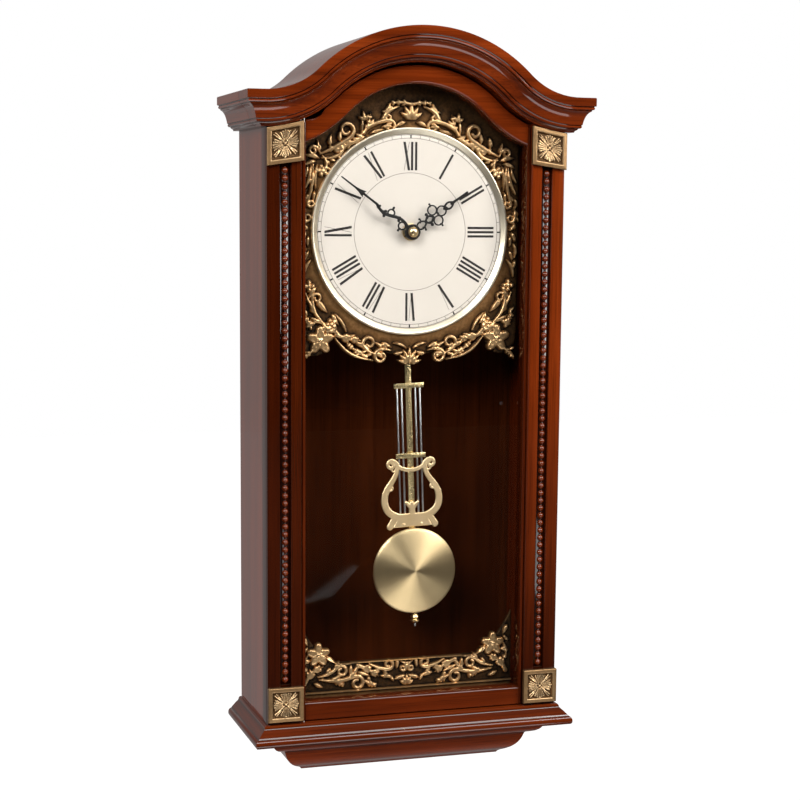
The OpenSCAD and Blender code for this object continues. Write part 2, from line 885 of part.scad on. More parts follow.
side_panel_left();
side_panel_right();
pilaster_left();
pilaster_right();
bead_strip_left();
bead_strip_right();
rosette_top_left();
rosette_top_right();
rosette_bottom_left();
rosette_bottom_right();
crown_front();
crown_return_left();
crown_return_right();
crown_roof();
base_board();
base_moulding_front();
base_moulding_left();
base_moulding_right();
base_skirt();
back_board();
back_board_screws();
hanger_plate();
hanger_screws();
door_top_rail();
door_bottom_rail();
door_stile_left();
door_stile_right();
door_glass();
door_pivot_pins();
door_strike();
catch_magnet();
dial_board();
upper_ornament();
lower_ornament();
dial_face();
dial_bezel();
hour_hand();
hour_tube();
minute_hand();
minute_shaft();
hand_cap();
centre_nut();
movement_front_shell();
movement_rear_shell();
set_knob();
volume_knob();
chime_switch();
test_button();
battery_cover();
batteries();
speaker();
pendulum_pivot_pin();
pendulum_hook();
pendulum_rod();
pendulum_bars();
lyre_rods();
lyre_plate();
pendulum_bob();
rating_stem();
rating_nut();
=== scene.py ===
"""Looks of the pendulum wall clock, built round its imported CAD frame.

Inside the script lengths are millimetres: x from the middle, y from the wall with the front
negative, and z above the clock's foot. Shape.build() turns them into the frame's metres.
"""

import math

import bmesh
import bpy
import numpy as np
from mathutils import Matrix, Vector


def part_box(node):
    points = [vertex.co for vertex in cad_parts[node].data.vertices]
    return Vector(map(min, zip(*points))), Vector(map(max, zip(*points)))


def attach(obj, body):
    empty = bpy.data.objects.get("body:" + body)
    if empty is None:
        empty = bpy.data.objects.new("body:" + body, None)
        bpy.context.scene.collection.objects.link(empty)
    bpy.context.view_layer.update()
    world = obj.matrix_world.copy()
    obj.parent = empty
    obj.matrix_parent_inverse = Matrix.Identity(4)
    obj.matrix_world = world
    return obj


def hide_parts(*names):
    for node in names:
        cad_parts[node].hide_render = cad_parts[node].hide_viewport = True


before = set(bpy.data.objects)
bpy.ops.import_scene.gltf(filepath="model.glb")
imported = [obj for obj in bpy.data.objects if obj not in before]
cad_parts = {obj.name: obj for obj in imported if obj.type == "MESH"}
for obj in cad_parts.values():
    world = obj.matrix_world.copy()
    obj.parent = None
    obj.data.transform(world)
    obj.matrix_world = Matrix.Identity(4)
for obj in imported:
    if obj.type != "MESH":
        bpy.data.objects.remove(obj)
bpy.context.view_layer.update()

MM = 0.001
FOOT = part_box("base_skirt")[0].z


def span_of(node):
    """Lowest and highest corner of a CAD node, in millimetres above the foot."""
    foot = Vector((0, 0, FOOT))
    low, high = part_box(node)
    return (low - foot) / MM, (high - foot) / MM


# ---- Driving sizes, read from the frame where it has them ----

HALF_W = span_of("side_panel_right")[1].x
FRONT_Y = span_of("pilaster_left")[0].y
BOARD_Y = span_of("crown_front")[1].y
BASE_TOP = span_of("base_board")[1].z
BASE_LOW = span_of("base_board")[0].z
CROWN_END = span_of("crown_return_left")[1].z
CROWN_H = CROWN_END - span_of("crown_return_left")[0].z
ARCH_RISE = span_of("crown_front")[1].z - CROWN_END
ARCH_R = 126.0
BEND_X = 130.0
ARCH_Z = CROWN_END + ARCH_RISE - ARCH_R
REACH = (BEND_X ** 2 + ARCH_RISE ** 2) / (2 * ARCH_RISE)
BEND_R = REACH - ARCH_R
BEND_Z = CROWN_END + BEND_R

DOOR_Y = span_of("door_stile_left")[0].y
DOOR_BACK = span_of("door_stile_left")[1].y
GLASS_LAP = 5.0
SIGHT_TOP = span_of("door_glass")[1].z - GLASS_LAP
SIGHT_R = 81.8
SIGHT_BEND_R = 100.0

DIAL_Z = sum(span_of("dial_bezel")[i].z for i in (0, 1)) / 2
DIAL_R = span_of("dial_face")[1].x
FACE_Y = span_of("dial_face")[0].y
BEZEL_R = span_of("dial_bezel")[1].x
PLATE_Y = -72.0
PLATE_BACK = span_of("upper_ornament")[1].y

PIVOT_Z = sum(span_of("pendulum_pivot_pin")[i].z for i in (0, 1)) / 2
BOB = sum(span_of("pendulum_bob"), Vector()) / 2
LEAN = math.atan2(BOB.x, PIVOT_Z - BOB.z)
BOB_DROP = math.hypot(BOB.x, PIVOT_Z - BOB.z)
BOB_R = (span_of("pendulum_bob")[1].x - span_of("pendulum_bob")[0].x) / 2

SIDES = ((-1, "left"), (1, "right"))


def ogee(x, drop=0.0):
    """Height of the crown outline at x, moved inwards by drop."""
    a = np.abs(x)
    r, b = ARCH_R - drop, BEND_R + drop
    top = ARCH_Z + np.sqrt(np.maximum(r * r - a * a, 0))
    low = np.where(a < BEND_X, BEND_Z - np.sqrt(np.maximum(b * b - (BEND_X - a) ** 2, 0)),
                   CROWN_END - drop)
    return np.where(a < r * BEND_X / REACH, top, low)


def sight(x, grow=0.0):
    """Height of the upper edge of the glazed opening at x, grown outwards by grow."""
    a = np.abs(x)
    total = SIGHT_R + SIGHT_BEND_R
    knee = total - math.sqrt(total ** 2 - BEND_X ** 2)
    r, b = SIGHT_R + grow, SIGHT_BEND_R - grow
    top = SIGHT_TOP - SIGHT_R + np.sqrt(np.maximum(r * r - a * a, 0))
    low = SIGHT_TOP - knee + SIGHT_BEND_R - np.sqrt(np.maximum(b * b - (BEND_X - a) ** 2, 0))
    return np.where(a < r * BEND_X / total, top, low)


# ---- Mesh building ----

class Shape:
    """Points, faces and a tone for each point, from 0 in a dark recess to 1 where it is rubbed; on
    wood and plain metal the tone paints shade into recesses and highlights onto rounds.
    """

    def __init__(self):
        self.points, self.faces, self.tones = [], [], []

    def add(self, points, faces, tones=None):
        base = len(self.points)
        self.points += [tuple(map(float, p)) for p in points]
        self.faces += [tuple(base + i for i in f) for f in faces]
        self.tones += [0.5] * len(points) if tones is None else [float(t) for t in tones]
        return self

    def loft(self, loops, tones=None, round_loop=True, caps=True, ring=False):
        """Skin through loops of equally many points; ring joins the last loop to the first."""
        rows, cols = len(loops), len(loops[0])
        faces = []
        for i in range(rows if ring else rows - 1):
            for j in range(cols if round_loop else cols - 1):
                a, b = i * cols + j, i * cols + (j + 1) % cols
                c, d = (i + 1) % rows * cols + j, (i + 1) % rows * cols + (j + 1) % cols
                faces.append((a, b, d, c))
        if caps and not ring:
            faces.append(tuple(range(cols))[::-1])
            faces.append(tuple((rows - 1) * cols + j for j in range(cols)))
        points = [p for loop in loops for p in loop]
        return self.add(points, faces, tones)

    def prism(self, outline, y0, y1):
        """Straight plate over an outline of (x, z) points."""
        return self.loft([[(x, y, z) for x, z in outline] for y in (y0, y1)])

    def lathe(self, profile, centre, axis="y", steps=96, tones=None, ring=False):
        """Turns a profile of (radius, place along the y or z axis) round that axis at centre."""
        loops, shades = [], []
        for k, (r, along) in enumerate(profile):
            loop = []
            for j in range(steps):
                c, s = math.cos(2 * math.pi * j / steps), math.sin(2 * math.pi * j / steps)
                if axis == "y":
                    loop.append((centre[0] + r * c, along, centre[2] + r * s))
                else:
                    loop.append((centre[0] + r * c, centre[1] + r * s, along))
            loops.append(loop)
            shades += [0.5 if tones is None else tones[k]] * steps
        return self.loft(loops, shades, ring=ring)

    def box(self, low, high, edge=0.4):
        """Block with its edges rounded over by edge."""
        (x0, y0, z0), (x1, y1, z1) = low, high
        loops = []
        for inset, z in ((edge, z0), (0, z0 + edge), (0, z1 - edge), (edge, z1)):
            a, b, c, d = x0 + inset, x1 - inset, y0 + inset, y1 - inset
            e = edge * 0.8
            loops.append([(a + e, c, z), (b - e, c, z), (b, c + e, z), (b, d - e, z),
                          (b - e, d, z), (a + e, d, z), (a, d - e, z), (a, c + e, z)])
        return self.loft(loops)

    def turned(self, place):
        """Moves every point by a function of (x, y, z)."""
        self.points = [place(*p) for p in self.points]
        return self

    def build(self, name, body, slot, finish, stands_for=(), sharp=32):
        """Makes the Blender object, riding on its body and standing for its CAD nodes."""
        mesh = bpy.data.meshes.new(name)
        mesh.from_pydata([(x * MM, y * MM, z * MM + FOOT) for x, y, z in self.points],
                         [], self.faces)
        tone = mesh.attributes.new("tone", "FLOAT", "POINT")
        tone.data.foreach_set("value", np.array(self.tones, np.float32))
        clean(mesh)
        return place_piece(name, mesh, body, finish, stands_for, sharp)


def clean(mesh, bevel=0.0, flat=0.0):
    """Welds a mesh, turns its faces outwards, and rounds its sharp edges by bevel."""
    bm = bmesh.new()
    bm.from_mesh(mesh)
    bmesh.ops.remove_doubles(bm, verts=bm.verts, dist=2e-6)
    bmesh.ops.dissolve_degenerate(bm, edges=bm.edges, dist=1e-6)
    if flat:
        bmesh.ops.dissolve_limit(bm, angle_limit=flat, verts=bm.verts, edges=bm.edges)
    bmesh.ops.recalc_face_normals(bm, faces=bm.faces)
    if bevel:
        hard = [e for e in bm.edges
                if len(e.link_faces) == 2 and e.calc_face_angle(0) > math.radians(38)]
        bmesh.ops.bevel(bm, geom=hard, offset=bevel * MM, segments=2, profile=0.5,
                        affect="EDGES", clamp_overlap=True)
    bm.to_mesh(mesh)
    bm.free()


def place_piece(name, mesh, body, finish, stands_for=(), sharp=32):
    """Puts a finished mesh in the scene as a piece of its body."""
    if "tone" not in mesh.attributes:
        tone = mesh.attributes.new("tone", "FLOAT", "POINT")
        tone.data.foreach_set("value", np.full(len(mesh.vertices), 0.5, np.float32))
    mesh.shade_smooth()
    mesh.set_sharp_from_angle(angle=math.radians(sharp))
    mesh.materials.clear()
    mesh.materials.append(finish)
    piece = bpy.data.objects.new(name, mesh)
    bpy.context.scene.collection.objects.link(piece)
    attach(piece, body)
    if stands_for:
        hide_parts(*stands_for)
    return piece


def refine(node, body, finish, bevel):
    """A copy of a CAD node with its flat faces joined and its edges softened."""
    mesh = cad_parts[node].data.copy()
    clean(mesh, bevel, flat=math.radians(1))
    return place_piece(node + "_finished", mesh, body, finish, (node,))


def smooth_path(points, per_span=8):
    """Points of the smooth curve that runs through the given ones."""
    p = np.array(points, float)
    if len(p) == 2:
        t = np.linspace(0, 1, per_span + 1)[:, None]
        return p[0] * (1 - t) + p[1] * t
    ends = np.vstack([2 * p[0] - p[1], p, 2 * p[-1] - p[-2]])
    out = []
    for i in range(1, len(ends) - 2):
        for t in np.arange(per_span) / per_span:
            a, b, c, d = ends[i - 1:i + 3]
            out.append(0.5 * (2 * b + (c - a) * t + (2 * a - 5 * b + 4 * c - d) * t * t
                              + (3 * b - a - 3 * c + d) * t ** 3))
    return np.array(out + [p[-1]])


class Field:
    """A grid over (x, z) with an outline, inside > 0, and a raised height made by strokes."""

    def __init__(self, low, high, cell):
        self.size = [int(math.ceil((high[k] - low[k]) / cell)) + 1 for k in (0, 1)]
        xs = low[0] + cell * np.arange(self.size[0])
        zs = low[1] + cell * np.arange(self.size[1])
        self.x, self.z = np.meshgrid(xs, zs, indexing="ij")
        self.inside = np.full(self.x.shape, -1e3)
        self.height = np.zeros(self.x.shape)
        self.near = np.full(self.x.shape, 1e3)
        self.low, self.cell = low, cell

    def window(self, x0, x1, z0, z1):
        """Slices of the grid that cover a rectangle."""
        i0, j0 = (max(0, int((v - w) / self.cell)) for v, w in zip((x0, z0), self.low))
        i1, j1 = (max(0, int((v - w) / self.cell) + 2) for v, w in zip((x1, z1), self.low))
        return slice(i0, i1), slice(j0, j1)

    def stroke(self, points, widths, height=2.0, groove=0.0):
        """A raised line through (x, z) points; widths are spread evenly along it."""
        path = smooth_path(points)
        gone = np.r_[0, np.cumsum(np.hypot(*np.diff(path, axis=0).T))]
        radii = np.interp(gone / gone[-1], np.linspace(0, 1, len(widths)), widths) / 2
        for k in range(len(path) - 1):
            (ax, az), (bx, bz) = path[k], path[k + 1]
            reach = max(radii[k], radii[k + 1]) + 3
            part = self.window(min(ax, bx) - reach, max(ax, bx) + reach,
                               min(az, bz) - reach, max(az, bz) + reach)
            x, z = self.x[part], self.z[part]
            if not x.size:
                continue
            length2 = max((bx - ax) ** 2 + (bz - az) ** 2, 1e-9)
            t = np.clip(((x - ax) * (bx - ax) + (z - az) * (bz - az)) / length2, 0, 1)
            away = np.hypot(x - ax - t * (bx - ax), z - az - t * (bz - az))
            radius = radii[k] + t * (radii[k + 1] - radii[k])
            share = away / np.maximum(radius, 1e-6)
            dome = np.sqrt(np.clip(1 - share ** 2, 0, 1))
            dome = dome * (1 - groove * np.exp(-(share / 0.38) ** 2))
            lift = height * (0.55 + 0.45 * radius / radii.max()) * dome
            self.height[part] = np.maximum(self.height[part], lift)
            self.near[part] = np.minimum(self.near[part], away - radius)
            self.inside[part] = np.maximum(self.inside[part], radius - away)
        return self

    def ball(self, x, z, r, height=2.0):
        """A dome of that radius, drawn as a stroke too short to see."""
        return self.stroke([(x - 0.01, z), (x + 0.01, z)], [2 * r, 2 * r], height)

    def area(self, outline):
        """Adds a filled polygon of (x, z) points to the outline."""
        away = np.full(self.x.shape, 1e3)
        odd = np.zeros(self.x.shape, bool)
        for (ax, az), (bx, bz) in zip(outline, outline[1:] + outline[:1]):
            length2 = max((bx - ax) ** 2 + (bz - az) ** 2, 1e-9)
            t = np.clip(((self.x - ax) * (bx - ax) + (self.z - az) * (bz - az)) / length2, 0, 1)
            away = np.minimum(away, np.hypot(self.x - ax - t * (bx - ax),
                                             self.z - az - t * (bz - az)))
            if az != bz:
                crossing = (self.z > az) != (self.z > bz)
                odd ^= crossing & (self.x < (bx - ax) * (self.z - az) / (bz - az) + ax)
        self.inside = np.maximum(self.inside, np.where(odd, away, -away))
        return self

    def hole(self, x, z, r):
        """Cuts a round hole through the plate."""
        self.inside = np.minimum(self.inside, np.hypot(self.x - x, self.z - z) - r)
        return self

    def mesh(self, front, back, tone):
        """Closed plate over the inside, with front heights y and a flat back."""
        nx, nz = self.size
        number = np.arange(nx * nz).reshape(nx, nz)
        keep = self.inside > 0
        corners = [number[:-1, :-1], number[1:, :-1], number[1:, 1:], number[:-1, 1:]]
        state = sum(keep.ravel()[c].astype(int) for c in corners)
        full = np.argwhere(state == 4)
        cut = np.argwhere((state > 0) & (state < 4))
        flat_inside = self.inside.ravel()
        made, sources, faces, rim = {}, [], [], []

        def point(a, b):
            key = (min(a, b), max(a, b))
            if key not in made:
                made[key] = len(sources)
                lo, hi = flat_inside[key[0]], flat_inside[key[1]]
                share = 0.0 if a == b else min(0.98, max(0.02, lo / (lo - hi)))
                sources.append((key[0], key[1], share))
            return made[key]

        for i, j in full:
            faces.append(tuple(point(n, n) for n in (number[i, j], number[i + 1, j],
                                                     number[i + 1, j + 1], number[i, j + 1])))
        for i, j in cut:
            ring = [number[i, j], number[i + 1, j], number[i + 1, j + 1], number[i, j + 1]]
            poly = []
            for n, m in zip(ring, ring[1:] + ring[:1]):
                inside_n, inside_m = flat_inside[n] > 0, flat_inside[m] > 0
                if inside_n:
                    poly.append((point(n, n), False))
                if inside_n != inside_m:
                    poly.append((point(n, m), True))
            faces.append(tuple(p for p, _ in poly))
            for (p, on_rim), (q, next_rim) in zip(poly, poly[1:] + poly[:1]):
                if on_rim and next_rim:
                    rim.append((p, q))
        a, b, t = (np.array(v) for v in zip(*sources))

        def at(values):
            values = np.broadcast_to(values, self.x.shape).ravel()
            return values[a] * (1 - t) + values[b] * t

        x, z, y, shade = at(self.x), at(self.z), at(front), at(tone)
        count = len(x)
        shape = Shape()
        points = np.vstack([np.c_[x, y, z], np.c_[x, np.full(count, back), z]])
        walls = [(p, q, q + count, p + count) for p, q in rim]
        backs = [tuple(n + count for n in f)[::-1] for f in faces]
        shape.add(points, faces + backs + walls, np.r_[shade, np.full(count, 0.2)])
        return shape


# ---- Materials ----

class Finish:
    """A node material round one Principled shader, with short calls for its node recipe."""

    def __init__(self, name, **constants):
        self.material = bpy.data.materials.new(name)
        self.material.use_nodes = True
        self.nodes = self.material.node_tree.nodes
        self.links = self.material.node_tree.links
        self.shader = self.nodes["Principled BSDF"]
        for socket, value in constants.items():
            self.shader.inputs[socket.replace("_", " ")].default_value = value
        self.place = self.nodes.new("ShaderNodeTexCoord").outputs["Object"]

    def feed(self, socket, source):
        self.links.new(source, self.shader.inputs[socket])

    def put(self, socket, value):
        """Links a socket to another socket, or sets it to a plain value."""
        if hasattr(value, "links"):
            self.links.new(value, socket)
        else:
            socket.default_value = value

    def noise(self, stretch, detail=3.0, rough=0.55, warp=0.0):
        """Noise with that many cells per metre along each axis."""
        mapping = self.nodes.new("ShaderNodeMapping")
        mapping.inputs["Scale"].default_value = stretch
        self.links.new(self.place, mapping.inputs["Vector"])
        noise = self.nodes.new("ShaderNodeTexNoise")
        noise.inputs["Scale"].default_value = 1.0
        noise.inputs["Detail"].default_value = detail
        noise.inputs["Roughness"].default_value = rough
        noise.inputs["Distortion"].default_value = warp
        self.links.new(mapping.outputs["Vector"], noise.inputs["Vector"])
        return noise.outputs["Fac"]

    def ramp(self, source, stops):
        """Colours (or grey levels) by position along source."""
        node = self.nodes.new("ShaderNodeValToRGB")
        while len(node.color_ramp.elements) < len(stops):
            node.color_ramp.elements.new(0.5)
        for element, (position, colour) in zip(node.color_ramp.elements, stops):
            element.position = position
            grey = not hasattr(colour, "__len__")
            element.color = (colour,) * 3 + (1,) if grey else tuple(colour) + (1,)
        self.links.new(source, node.inputs["Fac"])
        return node.outputs["Color"]

    def blend(self, kind, share, first, second):
        """Mixes two colours; share is a number or a socket."""
        node = self.nodes.new("ShaderNodeMix")
        node.data_type, node.blend_type = "RGBA", kind
        self.put(node.inputs["Factor"], share)
        for socket, value in ((node.inputs[6], first), (node.inputs[7], second)):
            self.put(socket, value if hasattr(value, "links") else tuple(value) + (1,))
        return node.outputs[2]

    def maths(self, kind, first, second):
        node = self.nodes.new("ShaderNodeMath")
        node.operation = kind
        for socket, value in zip(node.inputs, (first, second)):
            self.put(socket, value)
        return node.outputs[0]

    def tone(self):
        node = self.nodes.new("ShaderNodeAttribute")
        node.attribute_name = "tone"
        return node.outputs["Fac"]

    def bump(self, source, strength, depth):
        """Relief of that depth in metres."""
        node = self.nodes.new("ShaderNodeBump")
        node.inputs["Strength"].default_value = strength
        node.inputs["Distance"].default_value = depth
        self.links.new(source, node.inputs["Height"])
        self.feed("Normal", node.outputs["Normal"])
        return self


GRAIN = {"x": (5, 330, 330), "y": (330, 5, 330), "z": (330, 330, 5)}


def wood(name, grain, dark, middle, light, gloss=0.2, coat=0.85):
    """Stained close-grained wood under lacquer, with its grain along one axis; each point's tone
    paints shade and highlights into its colour.
    """
    along = np.array(GRAIN[grain], float)
    f = Finish(name, Coat_Weight=coat, Coat_Roughness=0.07, Coat_IOR=1.5, Specular_IOR_Level=0.0)
    figure = f.noise(tuple(along * 0.10), 4, 0.6, 1.2)
    streak = f.noise(tuple(along * 0.55), 5, 0.6, 0.4)
    pores = f.noise(tuple(along * 4.2), 2, 0.5)
    cloud = f.noise((11, 11, 9), 2, 0.5)
    body = f.maths("ADD", f.maths("MULTIPLY", figure, 0.55), f.maths("MULTIPLY", streak, 0.45))
    colour = f.ramp(body, [(0.30, dark), (0.50, middle), (0.72, light)])
    colour = f.blend("MULTIPLY", 1.0, colour, f.ramp(pores, [(0.30, 0.62), (0.47, 1.0)]))
    colour = f.blend("MULTIPLY", 1.0, colour, f.ramp(cloud, [(0.30, 0.78), (0.70, 1.12)]))
    # painted light: tones below 0.4 darken the wood as painted shade, tones above 0.6 brighten it
    # as painted highlight
    painted_light_and_shade = f.ramp(f.tone(), [(0.0, 0.10), (0.40, 1.0), (0.60, 1.0), (1.0, 2.1)])
    f.feed("Base Color", f.blend("MULTIPLY", 1.0, colour, painted_light_and_shade))
    rough = f.ramp(streak, [(0.3, gloss + 0.05), (0.7, gloss + 0.14)])
    f.feed("Roughness", rough)
    return f.bump(pores, 0.16, 0.00008).material


def metal(name, colour, worn, rough, spread=0.12, dirt=0.35):
    """Plain metal with slow colour drift, fine scratches and uneven polish."""
    f = Finish(name, Metallic=1.0)
    drift = f.noise((45, 45, 45), 3)
    fine = f.noise((900, 900, 900), 3)
    spots = f.noise((160, 160, 160), 5, 0.65)
    tint = f.blend("MIX", f.ramp(drift, [(0.35, 0.0), (0.7, 1.0)]), colour, worn)
    dull = f.ramp(spots, [(0.28, 1 - dirt), (0.48, 1.0)])
    # painted light: each point's tone darkens the metal as painted shade and brightens it as
    # painted highlight
    edge = f.ramp(f.tone(), [(0.0, 0.45), (0.45, 1.0), (1.0, 1.12)])
    tint = f.blend("MULTIPLY", 1.0, tint, dull)
    f.feed("Base Color", f.blend("MULTIPLY", 1.0, tint, edge))
    f.feed("Roughness", f.ramp(spots, [(0.3, rough + spread), (0.7, rough)]))
    return f.bump(fine, 0.12, 0.00005).material


def antique(name, pit, ground, gold, shine):
    """Cast brass with dark patina left in its recesses and bright rubbed ridges."""
    f = Finish(name, Metallic=0.85)
    mottle = f.noise((420, 420, 420), 5, 0.65)
    cloud = f.noise((70, 70, 70), 3)
    level = f.maths("ADD", f.tone(), f.maths("MULTIPLY", f.maths("SUBTRACT", mottle, 0.5), 0.30))
    colour = f.ramp(level, [(0.06, pit), (0.30, ground), (0.62, gold), (0.95, shine)])
    colour = f.blend("MULTIPLY", 1.0, colour, f.ramp(cloud, [(0.3, 0.75), (0.7, 1.1)]))
    f.feed("Base Color", colour)
    f.feed("Roughness", f.ramp(level, [(0.1, 0.62), (0.5, 0.42), (0.95, 0.27)]))
    return f.bump(mottle, 0.3, 0.00012).material


def moulded(name, colour, rough=0.42, coat=0.0, mottle=0.12):
    """Injection-moulded plastic or paint: fine texture, slight mottling, uneven gloss."""
    f = Finish(name, Coat_Weight=coat, Coat_Roughness=0.15)
    grainy = f.noise((1500, 1500, 1500), 2)
    cloud = f.noise((40, 40, 40), 3)
    tint = f.ramp(cloud, [(0.3, [c * (1 - mottle) for c in colour]), (0.7, colour)])
    # painted light: each point's tone darkens the colour as painted shade and brightens it as
    # painted highlight
    edge = f.ramp(f.tone(), [(0.0, 0.5), (0.45, 1.0), (1.0, 1.2)])
    f.feed("Base Color", f.blend("MULTIPLY", 1.0, tint, edge))
    f.feed("Roughness", f.ramp(cloud, [(0.3, rough + 0.08), (0.7, rough - 0.04)]))
    return f.bump(grainy, 0.15, 0.00004).material


def spun_metal(name, colour):
    """Metal turned on a lathe: fine rings round the Y axis that stretch its highlights."""
    f = Finish(name, Metallic=1.0, Anisotropic=0.78, Anisotropic_Rotation=0.25, Roughness=0.42)
    tangent = f.nodes.new("ShaderNodeTangent")
    tangent.direction_type, tangent.axis = "RADIAL", "Y"
    f.feed("Tangent", tangent.outputs["Tangent"])
    drift = f.noise((60, 60, 60), 3)
    tint = f.ramp(drift, [(0.3, [c * 0.93 for c in colour]), (0.7, colour)])
    # painted light: each point's tone darkens the colour as painted shade and brightens it as
    # painted highlight
    edge = f.ramp(f.tone(), [(0.0, 0.5), (0.45, 1.0), (1.0, 1.1)])
    f.feed("Base Color", f.blend("MULTIPLY", 1.0, tint, edge))
    return f.material


def hammered(name, colour):
    """Rod surface struck all over, so that it glitters in small facets."""
    f = Finish(name, Metallic=1.0)
    dents = f.noise((800, 800, 800), 2, 0.5)
    f.feed("Base Color", f.ramp(dents, [(0.35, [c * 0.62 for c in colour]), (0.6, colour)]))
    f.feed("Roughness", f.ramp(dents, [(0.3, 0.42), (0.7, 0.24)]))
    return f.bump(dents, 0.8, 0.0004).material


def clear_glass(name):
    """Thin window glass, a little darker than the real thing, with a weak mirror on it."""
    f = Finish(name)
    smear = f.noise((30, 30, 14), 4, 0.6, 0.8)
    clear = f.nodes.new("ShaderNodeBsdfTransparent")
    clear.inputs["Color"].default_value = (0.905, 0.905, 0.90, 1)
    mirror = f.nodes.new("ShaderNodeBsdfGlossy")
    edge = f.nodes.new("ShaderNodeLayerWeight").outputs["Facing"]
    share = f.ramp(edge, [(0.0, 0.008), (0.5, 0.02), (0.8, 0.12), (1.0, 0.8)])
    mix = f.nodes.new("ShaderNodeMixShader")
    f.links.new(f.ramp(smear, [(0.3, 0.0), (0.8, 0.02)]), mirror.inputs["Roughness"])
    f.links.new(share, mix.inputs["Fac"])
    f.links.new(clear.outputs[0], mix.inputs[1])
    f.links.new(mirror.outputs[0], mix.inputs[2])
    out = f.nodes["Material Output"]
    f.links.new(mix.outputs[0], out.inputs["Surface"])
    f.nodes.remove(f.shader)
    return f.material


RED = dict(dark=(0.046, 0.0060, 0.0010), middle=(0.108, 0.0145, 0.0018),
           light=(0.180, 0.0275, 0.0040))
DEEP = dict(dark=(0.011, 0.0012, 0.0001), middle=(0.020, 0.0023, 0.0002),
            light=(0.034, 0.0044, 0.0004))
WOOD = {axis: wood("mahogany_along_" + axis, axis, **RED) for axis in "xyz"}
VENEER = wood("veneered_board", "z", gloss=0.40, coat=0.12, **DEEP)
BEAD = wood("beaded_mahogany", "z", gloss=0.14, **RED)
ORNAMENT = antique("antique_brass_relief", (0.010, 0.006, 0.003), (0.16, 0.076, 0.025),
                   (0.52, 0.285, 0.112), (0.90, 0.60, 0.31))
ROSETTE = antique("antique_gold_rosette", (0.022, 0.011, 0.004), (0.15, 0.080, 0.032),
                  (0.33, 0.200, 0.092), (0.52, 0.365, 0.200))
PAPER = moulded("dial_paper", (0.72, 0.665, 0.60), 0.6, 0.0, 0.02)
PRINT = moulded("dial_print_ink", (0.012, 0.0085, 0.0075), 0.5)
FINE_PRINT = moulded("dial_fine_print", (0.10, 0.09, 0.08), 0.5)
BEZEL = metal("bezel_champagne", (0.90, 0.80, 0.62), (0.94, 0.86, 0.70), 0.34, 0.05, 0.05)
ENAMEL = moulded("black_enamel", (0.005, 0.0045, 0.0045), 0.36, 0.15)
BRASS = metal("bright_brass", (0.88, 0.64, 0.31), (0.94, 0.74, 0.42), 0.24, 0.10, 0.12)
LYRE = metal("lyre_brass", (0.84, 0.62, 0.35), (0.92, 0.72, 0.44), 0.44, 0.08, 0.10)
SPUN = spun_metal("spun_brass", (0.95, 0.74, 0.42))
HAMMERED = hammered("hammered_brass", (0.96, 0.76, 0.40))
ZINC = metal("zinc_steel", (0.62, 0.63, 0.65), (0.72, 0.72, 0.73), 0.28, 0.14, 0.2)
BLACK = moulded("black_plastic", (0.018, 0.018, 0.019), 0.42)
IVORY = moulded("ivory_plastic", (0.70, 0.67, 0.58), 0.40)
SCARLET = moulded("red_plastic", (0.48, 0.03, 0.02), 0.38)
BACK = wood("back_board_veneer", "z", (0.026, 0.0052, 0.0010), (0.046, 0.0096, 0.0020),
            (0.068, 0.0150, 0.0034), 0.45, 0.2)
JACKET = moulded("cell_jacket", (0.05, 0.09, 0.20), 0.35, 0.5)
GLASS = clear_glass("clear_glass")


# ---- Case ----

def corner_rounds(outline, radii, steps=5):
    """Rounds each convex corner of a closed (a, b) outline by its own radius."""
    count = len(outline)
    out = []
    for k, r in enumerate(radii):
        p, before, after = (np.array(outline[(k + d) % count], float) for d in (0, -1, 1))
        if r <= 0:
            out.append(tuple(p))
            continue
        u, v = (before - p) / np.linalg.norm(before - p), (after - p) / np.linalg.norm(after - p)
        for t in np.linspace(0, 1, steps + 1):
            w0, w1 = (1 - math.sin(t * math.pi / 2)), (1 - math.cos(t * math.pi / 2))
            out.append(tuple(p + u * r * w0 + v * r * w1))
    return out


# Crown moulding as (projection, drop, tone), from the top edge down. This section and the two
# of the base are rounded and smoothed from points read off the photograph through a fit of the
# camera.
# The tones paint shade and highlight: near 0 is painted shade in the recess lines and on the
# underside, about 0.6 is painted highlight on the fascia edge and the beads.
CROWN_PROFILE = [(18.0, 0, .55), (18.5, .5, .62), (18.5, 3, .5), (18.5, 6.3, .5), (18.2, 6.9, .6),
                 (17.3, 7.0, .02), (17.0, 7.5, .05), (17.4, 8.0, .6), (17.5, 8.7, .62),
                 (17.1, 9.5, .5), (16.4, 9.8, .1), (15.7, 9.9, .0), (15.7, 10.7, .6),
                 (15.2, 11.0, .6), (14.2, 11.6, .45), (13.0, 12.9, .48), (12.0, 14.6, .5),
                 (11.2, 16.6, .5), (10.6, 18.8, .5), (10.2, 20.6, .5), (10.1, 21.4, .3),
                 (9.5, 21.7, .0), (9.3, 22.1, .1), (9.7, 22.6, .6), (9.6, 23.4, .6),
                 (9.0, 24.1, .45), (8.0, 24.4, .1), (7.3, 24.5, .0), (7.0, 25.2, .5),
                 (6.2, 25.8, .45), (5.2, 26.3, .3), (4.8, CROWN_H, .2)]
SEAM = 0.3


